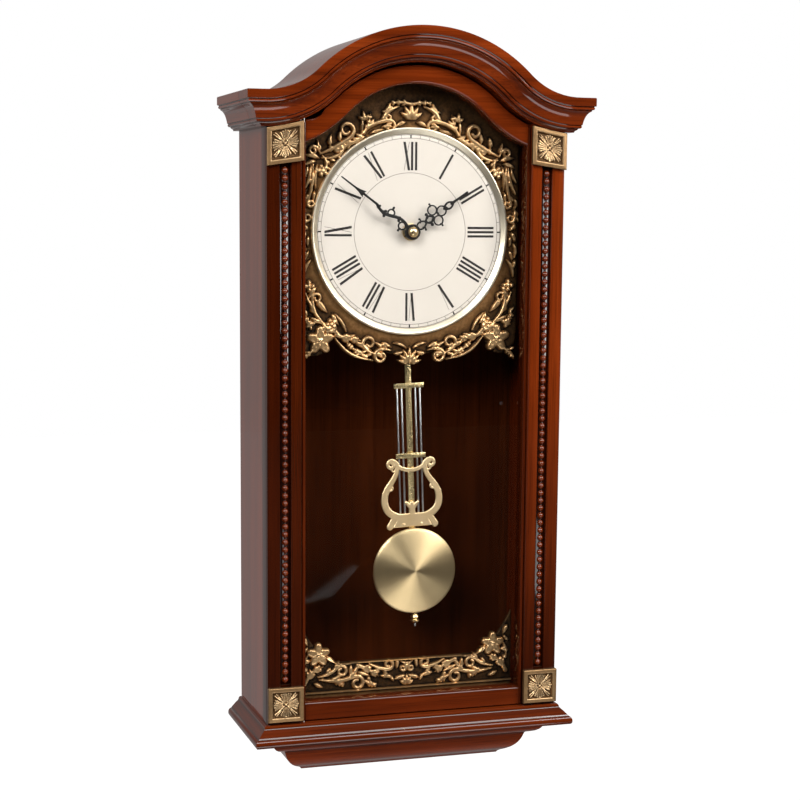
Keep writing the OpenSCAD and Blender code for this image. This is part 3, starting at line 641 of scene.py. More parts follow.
def crown_front():
    """Front moulding with its returned ends, following the arched outline."""
    flat = 110.0
    middle = np.linspace(-flat, flat, 111)
    shape = Shape()
    loops = []
    for out, drop, tone in CROWN_PROFILE:
        ends = np.linspace(flat, HALF_W + out, 7)[1:]
        xs = np.concatenate([-ends[::-1], middle, ends])
        zs = ogee(xs, drop)
        zs[np.abs(xs) > BEND_X] = CROWN_END - drop
        side = HALF_W + out
        z_end = CROWN_END - drop
        left = [(-side + SEAM, BOARD_Y, z_end), (-side, BOARD_Y - SEAM, z_end)]
        right = [(side, BOARD_Y - SEAM, z_end), (side - SEAM, BOARD_Y, z_end)]
        loops.append(left + [(x, FRONT_Y - out, z) for x, z in zip(xs, zs)] + right)
    tones = [t for _, _, t in CROWN_PROFILE for _ in loops[0]]
    shape.loft(loops, tones, round_loop=False, caps=False)
    first, last = loops[0], loops[-1]
    for loop in (first, last):
        back = [(x, BOARD_Y, z) for x, y, z in loop]
        shape.loft([loop, back], round_loop=False, caps=False)
    shape.loft([[(x, BOARD_Y, z) for x, y, z in first], [(x, BOARD_Y, z) for x, y, z in last]],
               round_loop=False, caps=False)
    for k in (0, -1):
        shape.add([loop[k] for loop in loops], [tuple(range(len(loops)))])
    shape.build("crown_front_moulding", "case", "polished_mahogany", WOOD["x"],
                ["crown_front"], sharp=28)


def mitred_side(profile, name, node, side, y_start, y_end, finish, mitre):
    """Side moulding: a profile of (projection, height, tone) run back along the case."""
    rows = []
    for y, shrink in ((y_start, SEAM), (y_start + SEAM, 0), (y_end - SEAM, 0), (y_end, SEAM)):
        at_front = y < y_start + 2 * SEAM
        rows.append([(side * (HALF_W + max(out - shrink, 0)), y - (out if mitre and at_front
                      else 0), z) for out, z, _ in profile])
    tones = [t for _ in rows for _, _, t in profile]
    Shape().loft(rows, tones).build(name, "case", "polished_mahogany", finish, [node], sharp=28)


def crown_returns():
    """Side mouldings behind the front one, with the same section."""
    profile = [(0, CROWN_END, .5)] + [(out, CROWN_END - drop, t) for out, drop, t in CROWN_PROFILE]
    profile += [(0, CROWN_END - CROWN_H, .2)]
    for side, word in SIDES:
        mitred_side(profile, "crown_return_moulding_" + word, "crown_return_" + word, side,
                    BOARD_Y, 0, WOOD["y"], False)


ROOF_THICKNESS = 8.0


def crown_roof():
    """Bent top board behind the front moulding."""
    thick = ARCH_Z + ARCH_R - span_of("crown_roof")[0].z
    drop = min(thick, ROOF_THICKNESS)
    xs = np.linspace(-HALF_W, HALF_W, 121)
    loops = []
    for y, inset in ((BOARD_Y, .25), (BOARD_Y + .25, 0), (-.25, 0), (0, .25)):
        top = [(x, y, z) for x, z in zip(xs, ogee(xs, inset))]
        low = [(x, y, z) for x, z in zip(xs[::-1], ogee(xs[::-1], drop - inset))]
        loops.append(top + low)
    Shape().loft(loops).build("crown_roof_board", "case", "polished_mahogany", WOOD["x"],
                              ["crown_roof"], sharp=40)


# Base moulding and skirt as (projection or set back, height, tone)
# Painted shade: the factor below scales down the tones of the base mouldings, painting the foot of
# the clock darker as shade below lamps set high; in the profiles low tones paint shade in the
# creases and high ones paint highlights on the rounds.
BASE_PAINTED_SHADE = 0.42
BASE_PROFILE = [(0, BASE_TOP, .5), (1.6, 50.8, .5), (2.3, 50.2, .55), (2.6, 49.3, .4),
                (2.9, 48.2, .1), (3.4, 47.6, .5), (4.4, 46.7, .55), (6.0, 45.2, .5),
                (7.6, 43.4, .5), (8.6, 42.3, .35), (9.0, 41.6, .05), (9.9, 41.2, .55),
                (10.9, 40.5, .6), (11.6, 39.2, .62), (11.8, 37.8, .6), (11.7, 36.4, .55),
                (11.2, 35.3, .5), (10.6, BASE_LOW, .4), (0, BASE_LOW, .3)]
SIDE_BASE = [(out, z, t * BASE_PAINTED_SHADE) for out, z, t in BASE_PROFILE]
SKIRT_PROFILE = [(7.5, BASE_LOW, .1), (7.4, 33.2, .3), (7.6, 30.0, .5), (8.3, 28.0, .5),
                 (9.9, 26.2, .5), (12.6, 24.3, .45), (16.0, 22.9, .4), (18.9, 21.9, .3),
                 (19.6, 21.2, .1), (20.0, 20.4, .5), (20.6, 18.4, .5), (21.7, 15.6, .5),
                 (23.2, 12.8, .5), (25.4, 9.8, .5), (28.4, 6.9, .5), (32.2, 4.4, .5),
                 (35.8, 2.6, .5), (37.6, 1.2, .5), (38.4, 0, .5)]


def base():
    """Base board, the mouldings round it and the skirt below."""
    rows = []
    for out, z, _ in BASE_PROFILE:
        rows.append([(s * (HALF_W + out), FRONT_Y - out, z) for s in (-1, 1)])
    columns = [list(col) for col in zip(*rows)]
    shape = Shape().loft(columns, [t * BASE_PAINTED_SHADE for _ in columns for _, _, t in BASE_PROFILE])
    shape.build("base_moulding_front_cove", "case", "polished_mahogany", WOOD["x"],
                ["base_moulding_front"], sharp=28)
    for side, word in SIDES:
        mitred_side(SIDE_BASE, "base_moulding_cove_" + word, "base_moulding_" + word, side,
                    FRONT_Y, 0, WOOD["y"], True)
    low, high = span_of("base_board")
    Shape().box(low, high, 0.3).build("base_board_planed", "case", "polished_mahogany",
                                      WOOD["x"], ["base_board"])
    loops = [[(-HALF_W + b, 0, z), (-HALF_W + b, FRONT_Y + b, z), (HALF_W - b, FRONT_Y + b, z),
              (HALF_W - b, 0, z)] for b, z, _ in SKIRT_PROFILE]
    # painted light: the skirt's tones are raised to brighten its underside as if lit from below,
    # keeping a little painted shade under the base and at the step
    tones = [min(1.0, t * 2.5) for _, _, t in SKIRT_PROFILE for _ in range(4)]
    Shape().loft(loops, tones).build("base_skirt_ogee", "case", "polished_mahogany", WOOD["x"],
                                     ["base_skirt"], sharp=28)


# Painted light: tones at the foot and at the head of each post. The left post is painted dark as
# shade; the right one runs from painted shade at its foot to a painted highlight at its head.
PILASTER_PAINTED_LIGHT = {"left": (0.05, 0.10), "right": (0.0, 0.74)}


def pilaster(side, word):
    """Front post with rounded edges and a channel for the beads."""
    inner, outer = span_of("pilaster_right")[0].x, HALF_W
    bead_low, bead_high = span_of("bead_strip_right")
    left, right = bead_low.x - 0.2, bead_high.x + 0.2
    floor = bead_high.y
    outline = [(inner, BOARD_Y), (inner, FRONT_Y), (left, FRONT_Y), (left, floor),
               (right, floor), (right, FRONT_Y), (outer, FRONT_Y), (outer, BOARD_Y)]
    radii = [0, 1.6, 0.5, 0, 0, 0.5, 3.0, 0]
    section = corner_rounds(outline, radii)
    bottom = [(side * x, y, BASE_TOP) for x, y in section]
    top = [(side * x, y, float(ogee(x, CROWN_H + 0.1))) for x, y in section]
    # the bead channel is painted near black as shade in the recess
    tones = [0.03 if left - .1 < x < right + .1 and y > FRONT_Y + 0.8 else painted_tone
             for painted_tone in PILASTER_PAINTED_LIGHT[word] for x, y in section]
    Shape().loft([bottom, top], tones).build("pilaster_post_" + word, "case",
                                             "polished_mahogany", WOOD["z"],
                                             ["pilaster_" + word], sharp=40)


def bead_strip(side, word):
    """Row of turned beads on a ground painted dark as shade, in the channel of a pilaster."""
    low, high = span_of("bead_strip_right")
    seat = high.y
    pitch, radius = 6.3, 2.65
    count = int((high.z - low.z) / pitch)
    x = side * (low.x + high.x) / 2
    shape = Shape().box((x - 4.2, seat - 0.8, low.z), (x + 4.2, seat, high.z), 0.15)
    # tone 0: painted shade on the ground of the channel and on the necks between the beads
    shape.tones = [0.0] * len(shape.points)
    profile = [(0.9, -3.15, .0), (1.25, -2.85, .0), (1.2, -2.62, .05)]
    profile += [(radius * math.cos(a), 2.55 * math.sin(a), .34)
                for a in np.linspace(-1.08, 1.08, 9)]
    profile += [(1.2, 2.62, .05), (1.25, 2.85, .0), (0.9, 3.15, .0)]
    for i in range(count):
        z = low.z + pitch * (i + 0.6)
        shape.lathe([(r * 0.98, z + along) for r, along, _ in profile],
                    (x, seat - 0.55, 0), "z", 20, [t for _, _, t in profile])
    shape.build("bead_strip_turned_" + word, "case", "dark_mahogany", BEAD,
                ["bead_strip_" + word], sharp=50)


def side_panels():
    """Two plain side boards."""
    for word in ("left", "right"):
        low, high = span_of("side_panel_" + word)
        Shape().box(low, high, 0.35).build("side_panel_planed_" + word, "case",
                                           "polished_mahogany", WOOD["z"],
                                           ["side_panel_" + word])


def rail_section(z_low, z_high, round_low, round_high):
    """Door rail section as (y, z), rounded on its front edges."""
    outline = [(DOOR_BACK, z_low), (DOOR_Y, z_low), (DOOR_Y, z_high), (DOOR_BACK, z_high)]
    return corner_rounds(outline, [0.2, round_low, round_high, 0.2], 6)


def door():
    """Rails, stiles, pane and fittings of the glazed door."""
    edge = 3.0
    half = span_of("door_top_rail")[1].x
    # by the hinge the corner is lowered, so that it clears the crown as the door opens
    corner_z = (536.6, 537, 537.8, 540, 545)
    corner_x = [-half + 3.88 * k for k in range(len(corner_z))]
    loops = []
    for x in np.linspace(-half, half, 97):
        top = float(ogee(x, CROWN_H + 1.8))
        if x < corner_x[-1]:
            top = min(top, float(np.interp(x, corner_x, corner_z)))
        loops.append([(x, y, z) for y, z in rail_section(float(sight(x)), top, edge, 0.8)])
    Shape().loft(loops).build("door_top_rail_moulded", "door", "polished_mahogany", WOOD["x"],
                              ["door_top_rail"], sharp=50)
    low, high = span_of("door_bottom_rail")
    section = rail_section(low.z, high.z, 0.6, edge)
    rows = [[(x, y, z) for y, z in section] for x in (low.x, high.x)]
    # a low tone paints the bottom rail darker as shade, recessed behind the posts
    tones = [0.26] * (2 * len(section))
    Shape().loft(rows, tones).build("door_bottom_rail_moulded", "door", "polished_mahogany",
                                    WOOD["x"], ["door_bottom_rail"], sharp=50)
    for word in ("left", "right"):
        low, high = span_of("door_stile_" + word)
        section = corner_rounds([(low.x, high.y), (low.x, low.y), (high.x, low.y),
                                 (high.x, high.y)], [0.2, 0.8, 0.8, 0.2], 4)
        rows = [[(x, y, z) for x, y in section] for z in (low.z, high.z)]
        # a low tone paints the narrow stiles dark as shade between the posts and the opening
        tones = [0.14] * (2 * len(section))
        Shape().loft(rows, tones).build("door_stile_moulded_" + word, "door",
                                        "polished_mahogany", WOOD["z"],
                                        ["door_stile_" + word], sharp=50)
    low, high = span_of("door_glass")
    xs = np.linspace(low.x, high.x, 81)
    edge, pane_half = 0.25, 93.0
    loops = []
    for y, inset in ((low.y, edge), (low.y + edge, 0), (high.y - edge, 0), (high.y, edge)):
        top = [(x * (1 - inset / pane_half), y, float(sight(x)) + GLASS_LAP - inset) for x in xs]
        loops.append(top + [(high.x - inset, y, low.z + inset), (low.x + inset, y, low.z + inset)])
    Shape().loft(loops).build("door_glass_pane", "door", "clear_glass", GLASS, ["door_glass"],
                              sharp=5)
    for node in ("door_pivot_pins", "door_strike"):
        refine(node, "door", ZINC, 0.15)
    refine("catch_magnet", "case", BLACK, 0.4)


# ---- Cast ornaments ----
# Each motif returns strokes: (points, widths, depth of the groove along the middle).

FULLNESS = 1.2
OPEN_EYE = 1.3


def relief_tones(field, plain, height):
    """Bright on raised ridges, dark close beside them, plain away from them."""
    raised = 0.40 + 0.58 * np.clip(field.height / height, 0, 1) ** 1.3
    shade = np.exp(-np.clip(field.near, 0, None) / 1.6)
    return np.where(field.height > 0.12 * height, raised, plain * (1 - 0.9 * shade))


def around(angle, out):
    """Point at a clock angle in degrees, that far outside the bezel."""
    turn, reach = math.radians(angle), BEZEL_R + out
    return (reach * math.sin(turn), DIAL_Z + reach * math.cos(turn))


def polar(centre, radius, angle):
    """Point at an angle in radians and a distance from a centre."""
    return (centre[0] + radius * math.cos(angle), centre[1] + radius * math.sin(angle))


def bowed(a, b, bulge, steps=6):
    """Points from a to b that bow out to the left of the way by the bulge."""
    along = (b[0] - a[0], b[1] - a[1])
    length = math.hypot(*along)
    left = (-along[1] / length, along[0] / length)
    return [tuple(a[k] + along[k] * t + left[k] * bulge * math.sin(math.pi * t) for k in (0, 1))
            for t in np.linspace(0, 1, steps)]


def roll(before, end, radius, turns=1.05, tightness=0.58):
    """Spiral that carries a stem on past its end, to the left where the radius is positive."""
    if not radius:
        return []
    side, reach = math.copysign(1, radius), abs(radius)
    start = math.atan2(end[1] - before[1], end[0] - before[0]) - side * math.pi / 2
    centre = polar(end, -reach, start)
    return [polar(centre, reach * (1 - tightness * t), start + side * 2 * math.pi * turns * t)
            for t in np.linspace(0, 1, 10)[1:]]


def scroll(a, b, bulge=0.0, curl=0.0, width=2.5):
    """Bowed stem from a to b that rolls up into an eye at b and throws a leaf off its back."""
    stem = bowed(a, b, bulge)
    if not curl:
        return [(stem, [.45 * width, width, width, .5 * width], .2)]
    points = stem + roll(stem[-2], stem[-1], OPEN_EYE * curl)
    side, heading = -math.copysign(1, curl), math.atan2(b[1] - a[1], b[0] - a[0])
    strokes = [(points, [.45 * width, width, width, .8 * width, .75 * width], .2)]
    for k, reach in ((2, 1.5), (4, 2.0)):
        tip = polar(stem[k], reach * abs(curl) + 1, heading + side * 0.55)
        strokes += leaf(stem[k], tip, 0.9 * width, side * 0.8)
    return strokes


def bead(centre, radius):
    """Round bead."""
    return ([centre, (centre[0] + 0.01, centre[1])], [2 * radius, 2 * radius], 0)


def leaf(a, b, width, bulge=0.0):
    """Pointed leaf from a to b with a vein."""
    return [(bowed(a, b, bulge, 5), [.4, width, .8 * width, .3], .38)]


def frond(a, b, bulge, width, lobes):
    """Acanthus leaf: a bowed spine with lobes that open out on both sides of it."""
    spine = bowed(a, b, bulge, 9)
    strokes = [(spine, [.6 * width, .55 * width, .45 * width, .3], .3)]
    for k in range(1, lobes + 1):
        n = min(7, round(8 * k / (lobes + 1)))
        heading = math.atan2(spine[n + 1][1] - spine[n][1], spine[n + 1][0] - spine[n][0])
        size = width * (1.15 - 0.5 * k / lobes)
        for side in (-1, 1):
            strokes += leaf(spine[n], polar(spine[n], size, heading + side * 0.75), .5 * width)
    return strokes


def fan(root, reach, spread, count, width, aim=90):
    """Leaves that spread from one root about the way that it aims."""
    strokes = []
    for share in np.linspace(-1, 1, count):
        angle = math.radians(aim + spread * share)
        strokes += leaf(root, polar(root, reach * (1 - 0.22 * abs(share)), angle), width)
    return strokes


def blossom(centre, reach, petals, width):
    """Flower of pointed petals round a bead."""
    strokes = []
    for k in range(petals):
        angle = math.pi / 2 + 2 * math.pi * k / petals
        strokes += leaf(polar(centre, 1.5, angle), polar(centre, reach, angle), width)
    return strokes + [bead(centre, 2.5)]


def berries(centre, ring_r, count, radius=1.8):
    """Ring of beads round one bead."""
    return [bead(centre, radius)] + [bead(polar(centre, ring_r, 2 * math.pi * k / count), radius)
                                     for k in range(count)]


def upper_crest():
    """Fan over the dial with the stems and sprig that run down from it."""
    return (fan(around(0, 6), 14, 58, 5, 3.6)
            + frond(around(0, 18), around(11, 20), 1.5, 3.8, 3)
            + leaf(around(10, 21), around(17, 8), 4.6, -2)
            + scroll(around(6, 17), around(13, 12), 1, -2.2, 2.4)
            + leaf(around(3, 4), around(9, 1), 3.0, 1)
            + leaf(around(17, 3), around(10, 1), 2.6, -1)
            + scroll(around(29, 4), around(12, 7), -3.0, 3.6, 3.0)
            + frond(around(27, 4), around(20, 17), 1, 3.6, 3)
            + leaf(around(24, 2), around(15, 1), 2.6, -0.5)
            + scroll(around(28, 5), around(25, 14), 0, 0, 2)
            + fan(around(24, 13), 8, 48, 3, 2.8, 78))


def upper_spandrel():
    """Large scroll, its acanthus and the curls between the dial and the arch."""
    return (scroll(around(51, 14), around(34, 7), 1.0, -5.0, 3.2)
            + frond(around(29, 2), around(47, 12), -2, 5.0, 5)
            + leaf(around(40, 9), around(36, 16), 3.2, -1)
            + leaf(around(45, 12), around(41, 18), 3.2, -1)
            + leaf(around(31, 7), around(27, 1), 3.0, 1)
            + scroll(around(52, 11), around(44, 2), 1.5, -3.2, 2.4)
            + scroll(around(51, 12), around(56, 3), -2, 2.2, 2.2)
            + scroll(around(51, 14), around(50, 20), 0.5, -2.8, 2.2)
            + leaf(around(53, 12), around(56, 24), 3.4, 1)
            + leaf(around(55, 13), around(60, 20), 3.0, 1)
            + berries(around(57, 5), 3.4, 5, 1.7))


def upper_side():
    """Strands, leaves and berries that hang beside the dial."""
    return (scroll(around(56, 11), around(67, 3), 1.0, 0, 2.3)
            + scroll(around(57, 14), around(75, 6), -1.5, -2.4, 2.6)
            + scroll(around(58, 15), around(71, 12), -1.5, 0, 2.5)
            + scroll(around(59, 17), around(66, 16), -1.0, 0, 2.2)
            + scroll(around(77, 8), around(83, 7), 0.5, -2.6, 2.4)
            + leaf(around(68, 3), around(74, 1), 2.4, 0.5)
            + leaf(around(73, 10), around(78, 9), 2.4, 1)
            + leaf(around(89, 2), around(86, 8), 2.8)
            + leaf(around(84, 4), around(89, 7), 2.4, 1)
            + leaf(around(92, 2), around(98, 3), 2.4, 0.6)
            + leaf(around(100, 3), around(105, 8), 2.4, 0.6)
            + leaf(around(90, 4), around(95, 8), 3.2)
            + scroll(around(96, 6), around(103, 9), 1.6, 0, 2.2)
            + leaf(around(104, 10), around(109, 11), 2.6)
            + scroll(around(105, 3), around(112, 13), 1.5, 0, 2.4)
            + berries(around(117, 12), 3.0, 4, 1.9))


def upper_corner():
    """Blossom at the foot of each side with the scrolls that lead to it."""
    heart = (76, 362)
    return (scroll(around(119, 17), around(136, 20), 2.0, 0, 2.3)
            + scroll(around(133, 20), around(123, 15), -1.5, 3.2, 2.4)
            + scroll(around(134, 21), around(139, 21), 0, -2.8, 2.8)
            + scroll(around(136, 8), around(146, 13), -1, 0, 2.2)
            + leaf((80, 395), (70, 384), 4.4)
            + leaf((85, 381), (71, 376), 3.4, 1)
            + leaf((89, 373), (79, 377), 3.8)
            + scroll((91, 387), (88, 381), -1.5, 0, 2.2)
            + berries((67, 375), 3.2, 5, 1.7)
            + blossom(heart, 12, 5, 7.4)
            + blossom(heart, 6, 5, 3.4)
            + frond((84, 372), (91, 383), 1, 4.0, 3)
            + frond((82, 354), (91, 345), 1, 3.6, 3)
            + leaf((66, 384), (60, 374), 3.4, 1)
            + leaf((79, 405), (86, 395), 3.2, 1)
            + leaf((92, 344), (88, 352), 2.4)
            + leaf((92, 354), (87, 352), 2.2))


def upper_swag():
    """Garland under the dial, from the blossoms to the fan in the middle."""
    return (scroll(around(142, 22), around(163, 25), 5.0, 0, 2.4)
            + frond(around(143, 20), around(155, 13), 1, 5.4, 4)
            + frond(around(160, 24), around(148, 20), -1, 4.0, 4)
            + leaf(around(163, 16), around(168, 12), 3.0, 1)
            + leaf(around(172, 16), around(177, 13), 3.0, 1)
            + leaf((30, 351), (22, 346), 3.4, -1)
            + leaf((66, 372), (58, 366), 3.4, 1)
            + scroll(around(165, 19), around(158, 18), -1.0, 4.4, 2.7)
            + leaf((48, 361), (32, 353), 3.8)
            + scroll((53, 362), (47, 366), -1, 0, 2.2)
            + scroll((16, 353), (25, 354), 0.5, -4.4, 2.8)
            + leaf((24, 360), (15, 355), 2.6)
            + scroll((14, 359), (3, 355), -1, 0, 2.2)
            + fan((0, 342), 14, 75, 7, 3.4))


def lower_corner():
    """Blossom in the corner of the lower casting and the horn that grows from it."""
    return (blossom((77, 101), 10.5, 5, 6.6)
            + blossom((77, 101), 5.5, 5, 3.2)
            + leaf((84, 96), (91, 94), 3.2, 1)
            + leaf((70, 100), (62, 94), 3.6, 1)
            + leaf((90, 117), (86, 109), 3.2)
            + leaf((91, 103), (86, 108), 2.6)
            + scroll((86, 102), (89, 91), 1, 0, 2.0)
            + bead_group((88, 89), (75, 102))
            + frond((89, 77), (72, 91), -3, 5.6, 4)
            + leaf((81, 77), (73, 73), 3.0))


def bead_group(*places):
    """Loose beads."""
    return [bead(place, 1.7) for place in places]


def lower_scrolls():
    """Two rolling stems and the leaves between them, from the corner to the middle."""
    return (scroll((77, 82), (60, 90), 1.5, 3.8, 2.8)
            + scroll((76, 80), (45, 81), 2.5, 4.6, 3.2)
            + frond((43, 90), (24, 79), -1, 5.4, 4)
            + leaf((44, 85), (32, 80), 2.8)
            + scroll((33, 91), (17, 85), 1, -3.4, 2.8)
            + leaf((8, 93), (9, 85), 2.8)
            + scroll((5, 91), (1, 86), -1, 2.0, 2.0)
            + leaf((11, 76), (1, 79), 3.2)
            + frond((64, 80), (54, 74), 1, 4.0, 3)
            + frond((36, 76), (26, 72), 1, 3.8, 3)
            + fan((0, 71), 9, 60, 5, 2.8)
            + leaf((49, 82), (49, 91), 3.2)
            + leaf((47, 82), (42, 91), 3.2)
            + leaf((34, 80), (32, 74), 2.8)
            + leaf((23, 80), (12, 78), 3.4)
            + leaf((14, 78), (11, 74), 2.2))


def raise_relief(field, strokes, height):
    """Draws one half of an ornament and its mirror image."""
    for side in (-1, 1):
        for points, widths, groove in strokes:
            field.stroke([(side * x, z) for x, z in points], [w * FULLNESS for w in widths],
                         height, groove)


def upper_ornament():
    """Cast plate round the dial, with its relief."""
    height = 3.9
    half = span_of("upper_ornament")[1].x
    field = Field((-half - 1, 341), (half + 1, 575), 0.55)
    raise_relief(field, upper_crest() + upper_spandrel() + upper_side() + upper_corner()
                 + upper_swag(), height)
    away = np.hypot(field.x, field.z - DIAL_Z)
    # plate: a disc, the ground between it and the arch, and a lobe behind each blossom
    disc_r, crest_drop, ground_z = 100.5, 39, 366
    lobe_x, lobe_z, lobe_r = 80, 363, 13.5
    ground = np.minimum(ogee(field.x, crest_drop) - field.z, field.z - ground_z)
    plate = np.maximum(disc_r - away, ground)
    plate = np.maximum(plate, lobe_r - np.hypot(np.abs(field.x) - lobe_x, field.z - lobe_z))
    field.inside = np.maximum(field.inside, plate)
    field.inside = np.minimum(field.inside, away - (DIAL_R + 0.4))
    field.inside = np.minimum(field.inside, half - np.abs(field.x))
    plain = np.interp(away, [80, 90, 96, 101], [0.44, 0.36, 0.24, 0.16])
    rim = 0.7 * np.exp(-np.clip(field.inside, 0, None) / 0.5)
    front = PLATE_Y - field.height + rim
    shape = field.mesh(front, PLATE_BACK, relief_tones(field, plain, height))
    shape.build("upper_ornament_cast", "case", "antique_brass", ORNAMENT, ["upper_ornament"],
                sharp=60)


def lower_top(x):
    """Top edge of the lower casting's plate: level, then sweeping up to the corners."""
    away = np.clip((np.abs(x) - 60) / 34, 0, 1)
    return 93.4 + 37 * away ** 1.8


def lower_ornament():
    """Cast plate along the bottom of the case, with its relief."""
    height, ledge_z = 3.2, 68.8
    low, high = span_of("lower_ornament")
    field = Field((low.x - 1, low.z - 1), (high.x + 1, high.z + 1), 0.55)
    brim = [(x, lower_top(x) - 0.8) for x in range(0, 76, 15)]
    base_line = [(0, ledge_z), (high.x, ledge_z)]
    raise_relief(field, lower_corner() + lower_scrolls()
                 + [(brim, [1.1, 1.1], 0), (base_line, [1.2, 1.2], 0)], height)
    field.inside = np.maximum(field.inside, np.minimum(lower_top(field.x), high.z) - field.z)
    field.inside = np.minimum(field.inside, high.x - np.abs(field.x))
    field.inside = np.minimum(field.inside, np.minimum(field.z - low.z, high.z - field.z))
    ledge = np.clip((ledge_z - field.z) / 0.8, 0, 1)
    plain = 0.16 + 0.32 * ledge
    rim = 0.7 * np.exp(-np.clip(field.inside, 0, None) / 0.5)
    front = PLATE_Y - field.height - 0.8 * ledge + rim
    shape = field.mesh(front, high.y, relief_tones(field, plain, height))
    shape.build("lower_ornament_cast", "case", "antique_brass", ORNAMENT, ["lower_ornament"],
                sharp=60)


def rosette(side, word, height_word):
    """Cast square with a mitred rim and, in its sunk field, a flower of leaves and fans."""
    node = "rosette_" + height_word + "_" + word
    low, high = span_of("rosette_" + height_word + "_right")
    top = height_word == "top"
    # the upper plates slant: heights of their corners at the inner and at the outer edge,
    # as read off the photograph through a fit of the camera
    inner_low, inner_high, outer_low, outer_high = ((504.8, 535.6, 500.4, 529.8) if top else
                                                    (low.z, high.z, low.z, high.z))
    slope = (inner_high - outer_high) / (high.x - low.x)
    shear = (inner_low - outer_low) / (high.x - low.x)
    cx = (low.x + high.x) / 2
    half_x, half_z, cell = 16, 18, 0.25
    field = Field((side * cx - half_x, low.z - 1), (side * cx + half_x, high.z + 1), cell)
    across = side * field.x - low.x
    bottom, crown = inner_low - shear * across, inner_high - slope * across
    gap = np.minimum(np.minimum(across, high.x - low.x - across),
                     np.minimum(field.z - bottom, crown - field.z))
    middle = (bottom + crown) / 2
    # flower, drawn in coordinates that follow the plate's own slant
    flower = Field((-half_x, -half_z), (half_x, half_z), cell)
    reach = 9.9
    for k in range(4):
        turn = math.pi / 2 * k
        for spread in (-0.075, 0.075):
            a = turn + math.pi / 4 + spread
            flower.stroke([polar((0, 0), r, a) for r in (1.6, 7, 12.2)], [.9, 1.7, 1.2], 1.7)
        for j in range(-2, 3):
            a = turn + j * 0.215
            far = reach - 0.35 * abs(j) + (0.3 if j % 2 == 0 else 0)
            flower.stroke([polar((0, 0), r, a) for r in (2.4, 6, far)],
                          [.6, 1.3, 2.15 - 0.15 * abs(j)], 1.9, 0.3)
    flower.ball(0, 0, 1.55, 2.2)
    # look up the flower's height for each point of the plate
    u = side * field.x - cx
    v = field.z - middle
    iu = np.clip(((u + half_x) / cell).astype(int), 0, flower.size[0] - 1)
    iv = np.clip(((v + half_z) / cell).astype(int), 0, flower.size[1] - 1)
    lift = flower.height[iu, iv]
    sunk = 4.2
    rise = np.interp(gap, [0, .35, 2.9, 3.5, sunk, sunk + .5], [.6, .2, 0, .35, 2.1, 2.5])
    in_field = gap > sunk
    front = high.y - 4.0 + rise - np.where(in_field, lift, 0)
    tone = np.interp(gap, [0, .4, 1, 2.5, 3.1, 3.6, sunk, sunk + .4],
                     [.42, .56, .50, .55, .80, .66, .10, .20])
    bright = 0.38 + 0.60 * np.clip(lift / 1.5, 0, 1) ** 1.2
    tone = np.where(in_field & (lift > .2), bright, tone)
    field.inside = gap
    shape = field.mesh(front, high.y, tone)
    shape.build(node + "_cast", "case", "antique_brass", ROSETTE, [node], sharp=60)


# ---- Dial and hands ----

DIAL = (0.0, 0.0, DIAL_Z)
NUMERALS = ["XII", "I", "II", "III", "IIII", "V", "VI", "VII", "VIII", "IX", "X", "XI"]
ADVANCE = {"I": 3.45, "V": 5.5, "X": 5.7}


def clockwise(angle):
    """Turns (across, along) round the dial centre, along pointing outwards at that angle."""
    c, s = math.cos(angle), math.sin(angle)
    return lambda u, v: (u * c + v * s, DIAL_Z - u * s + v * c)


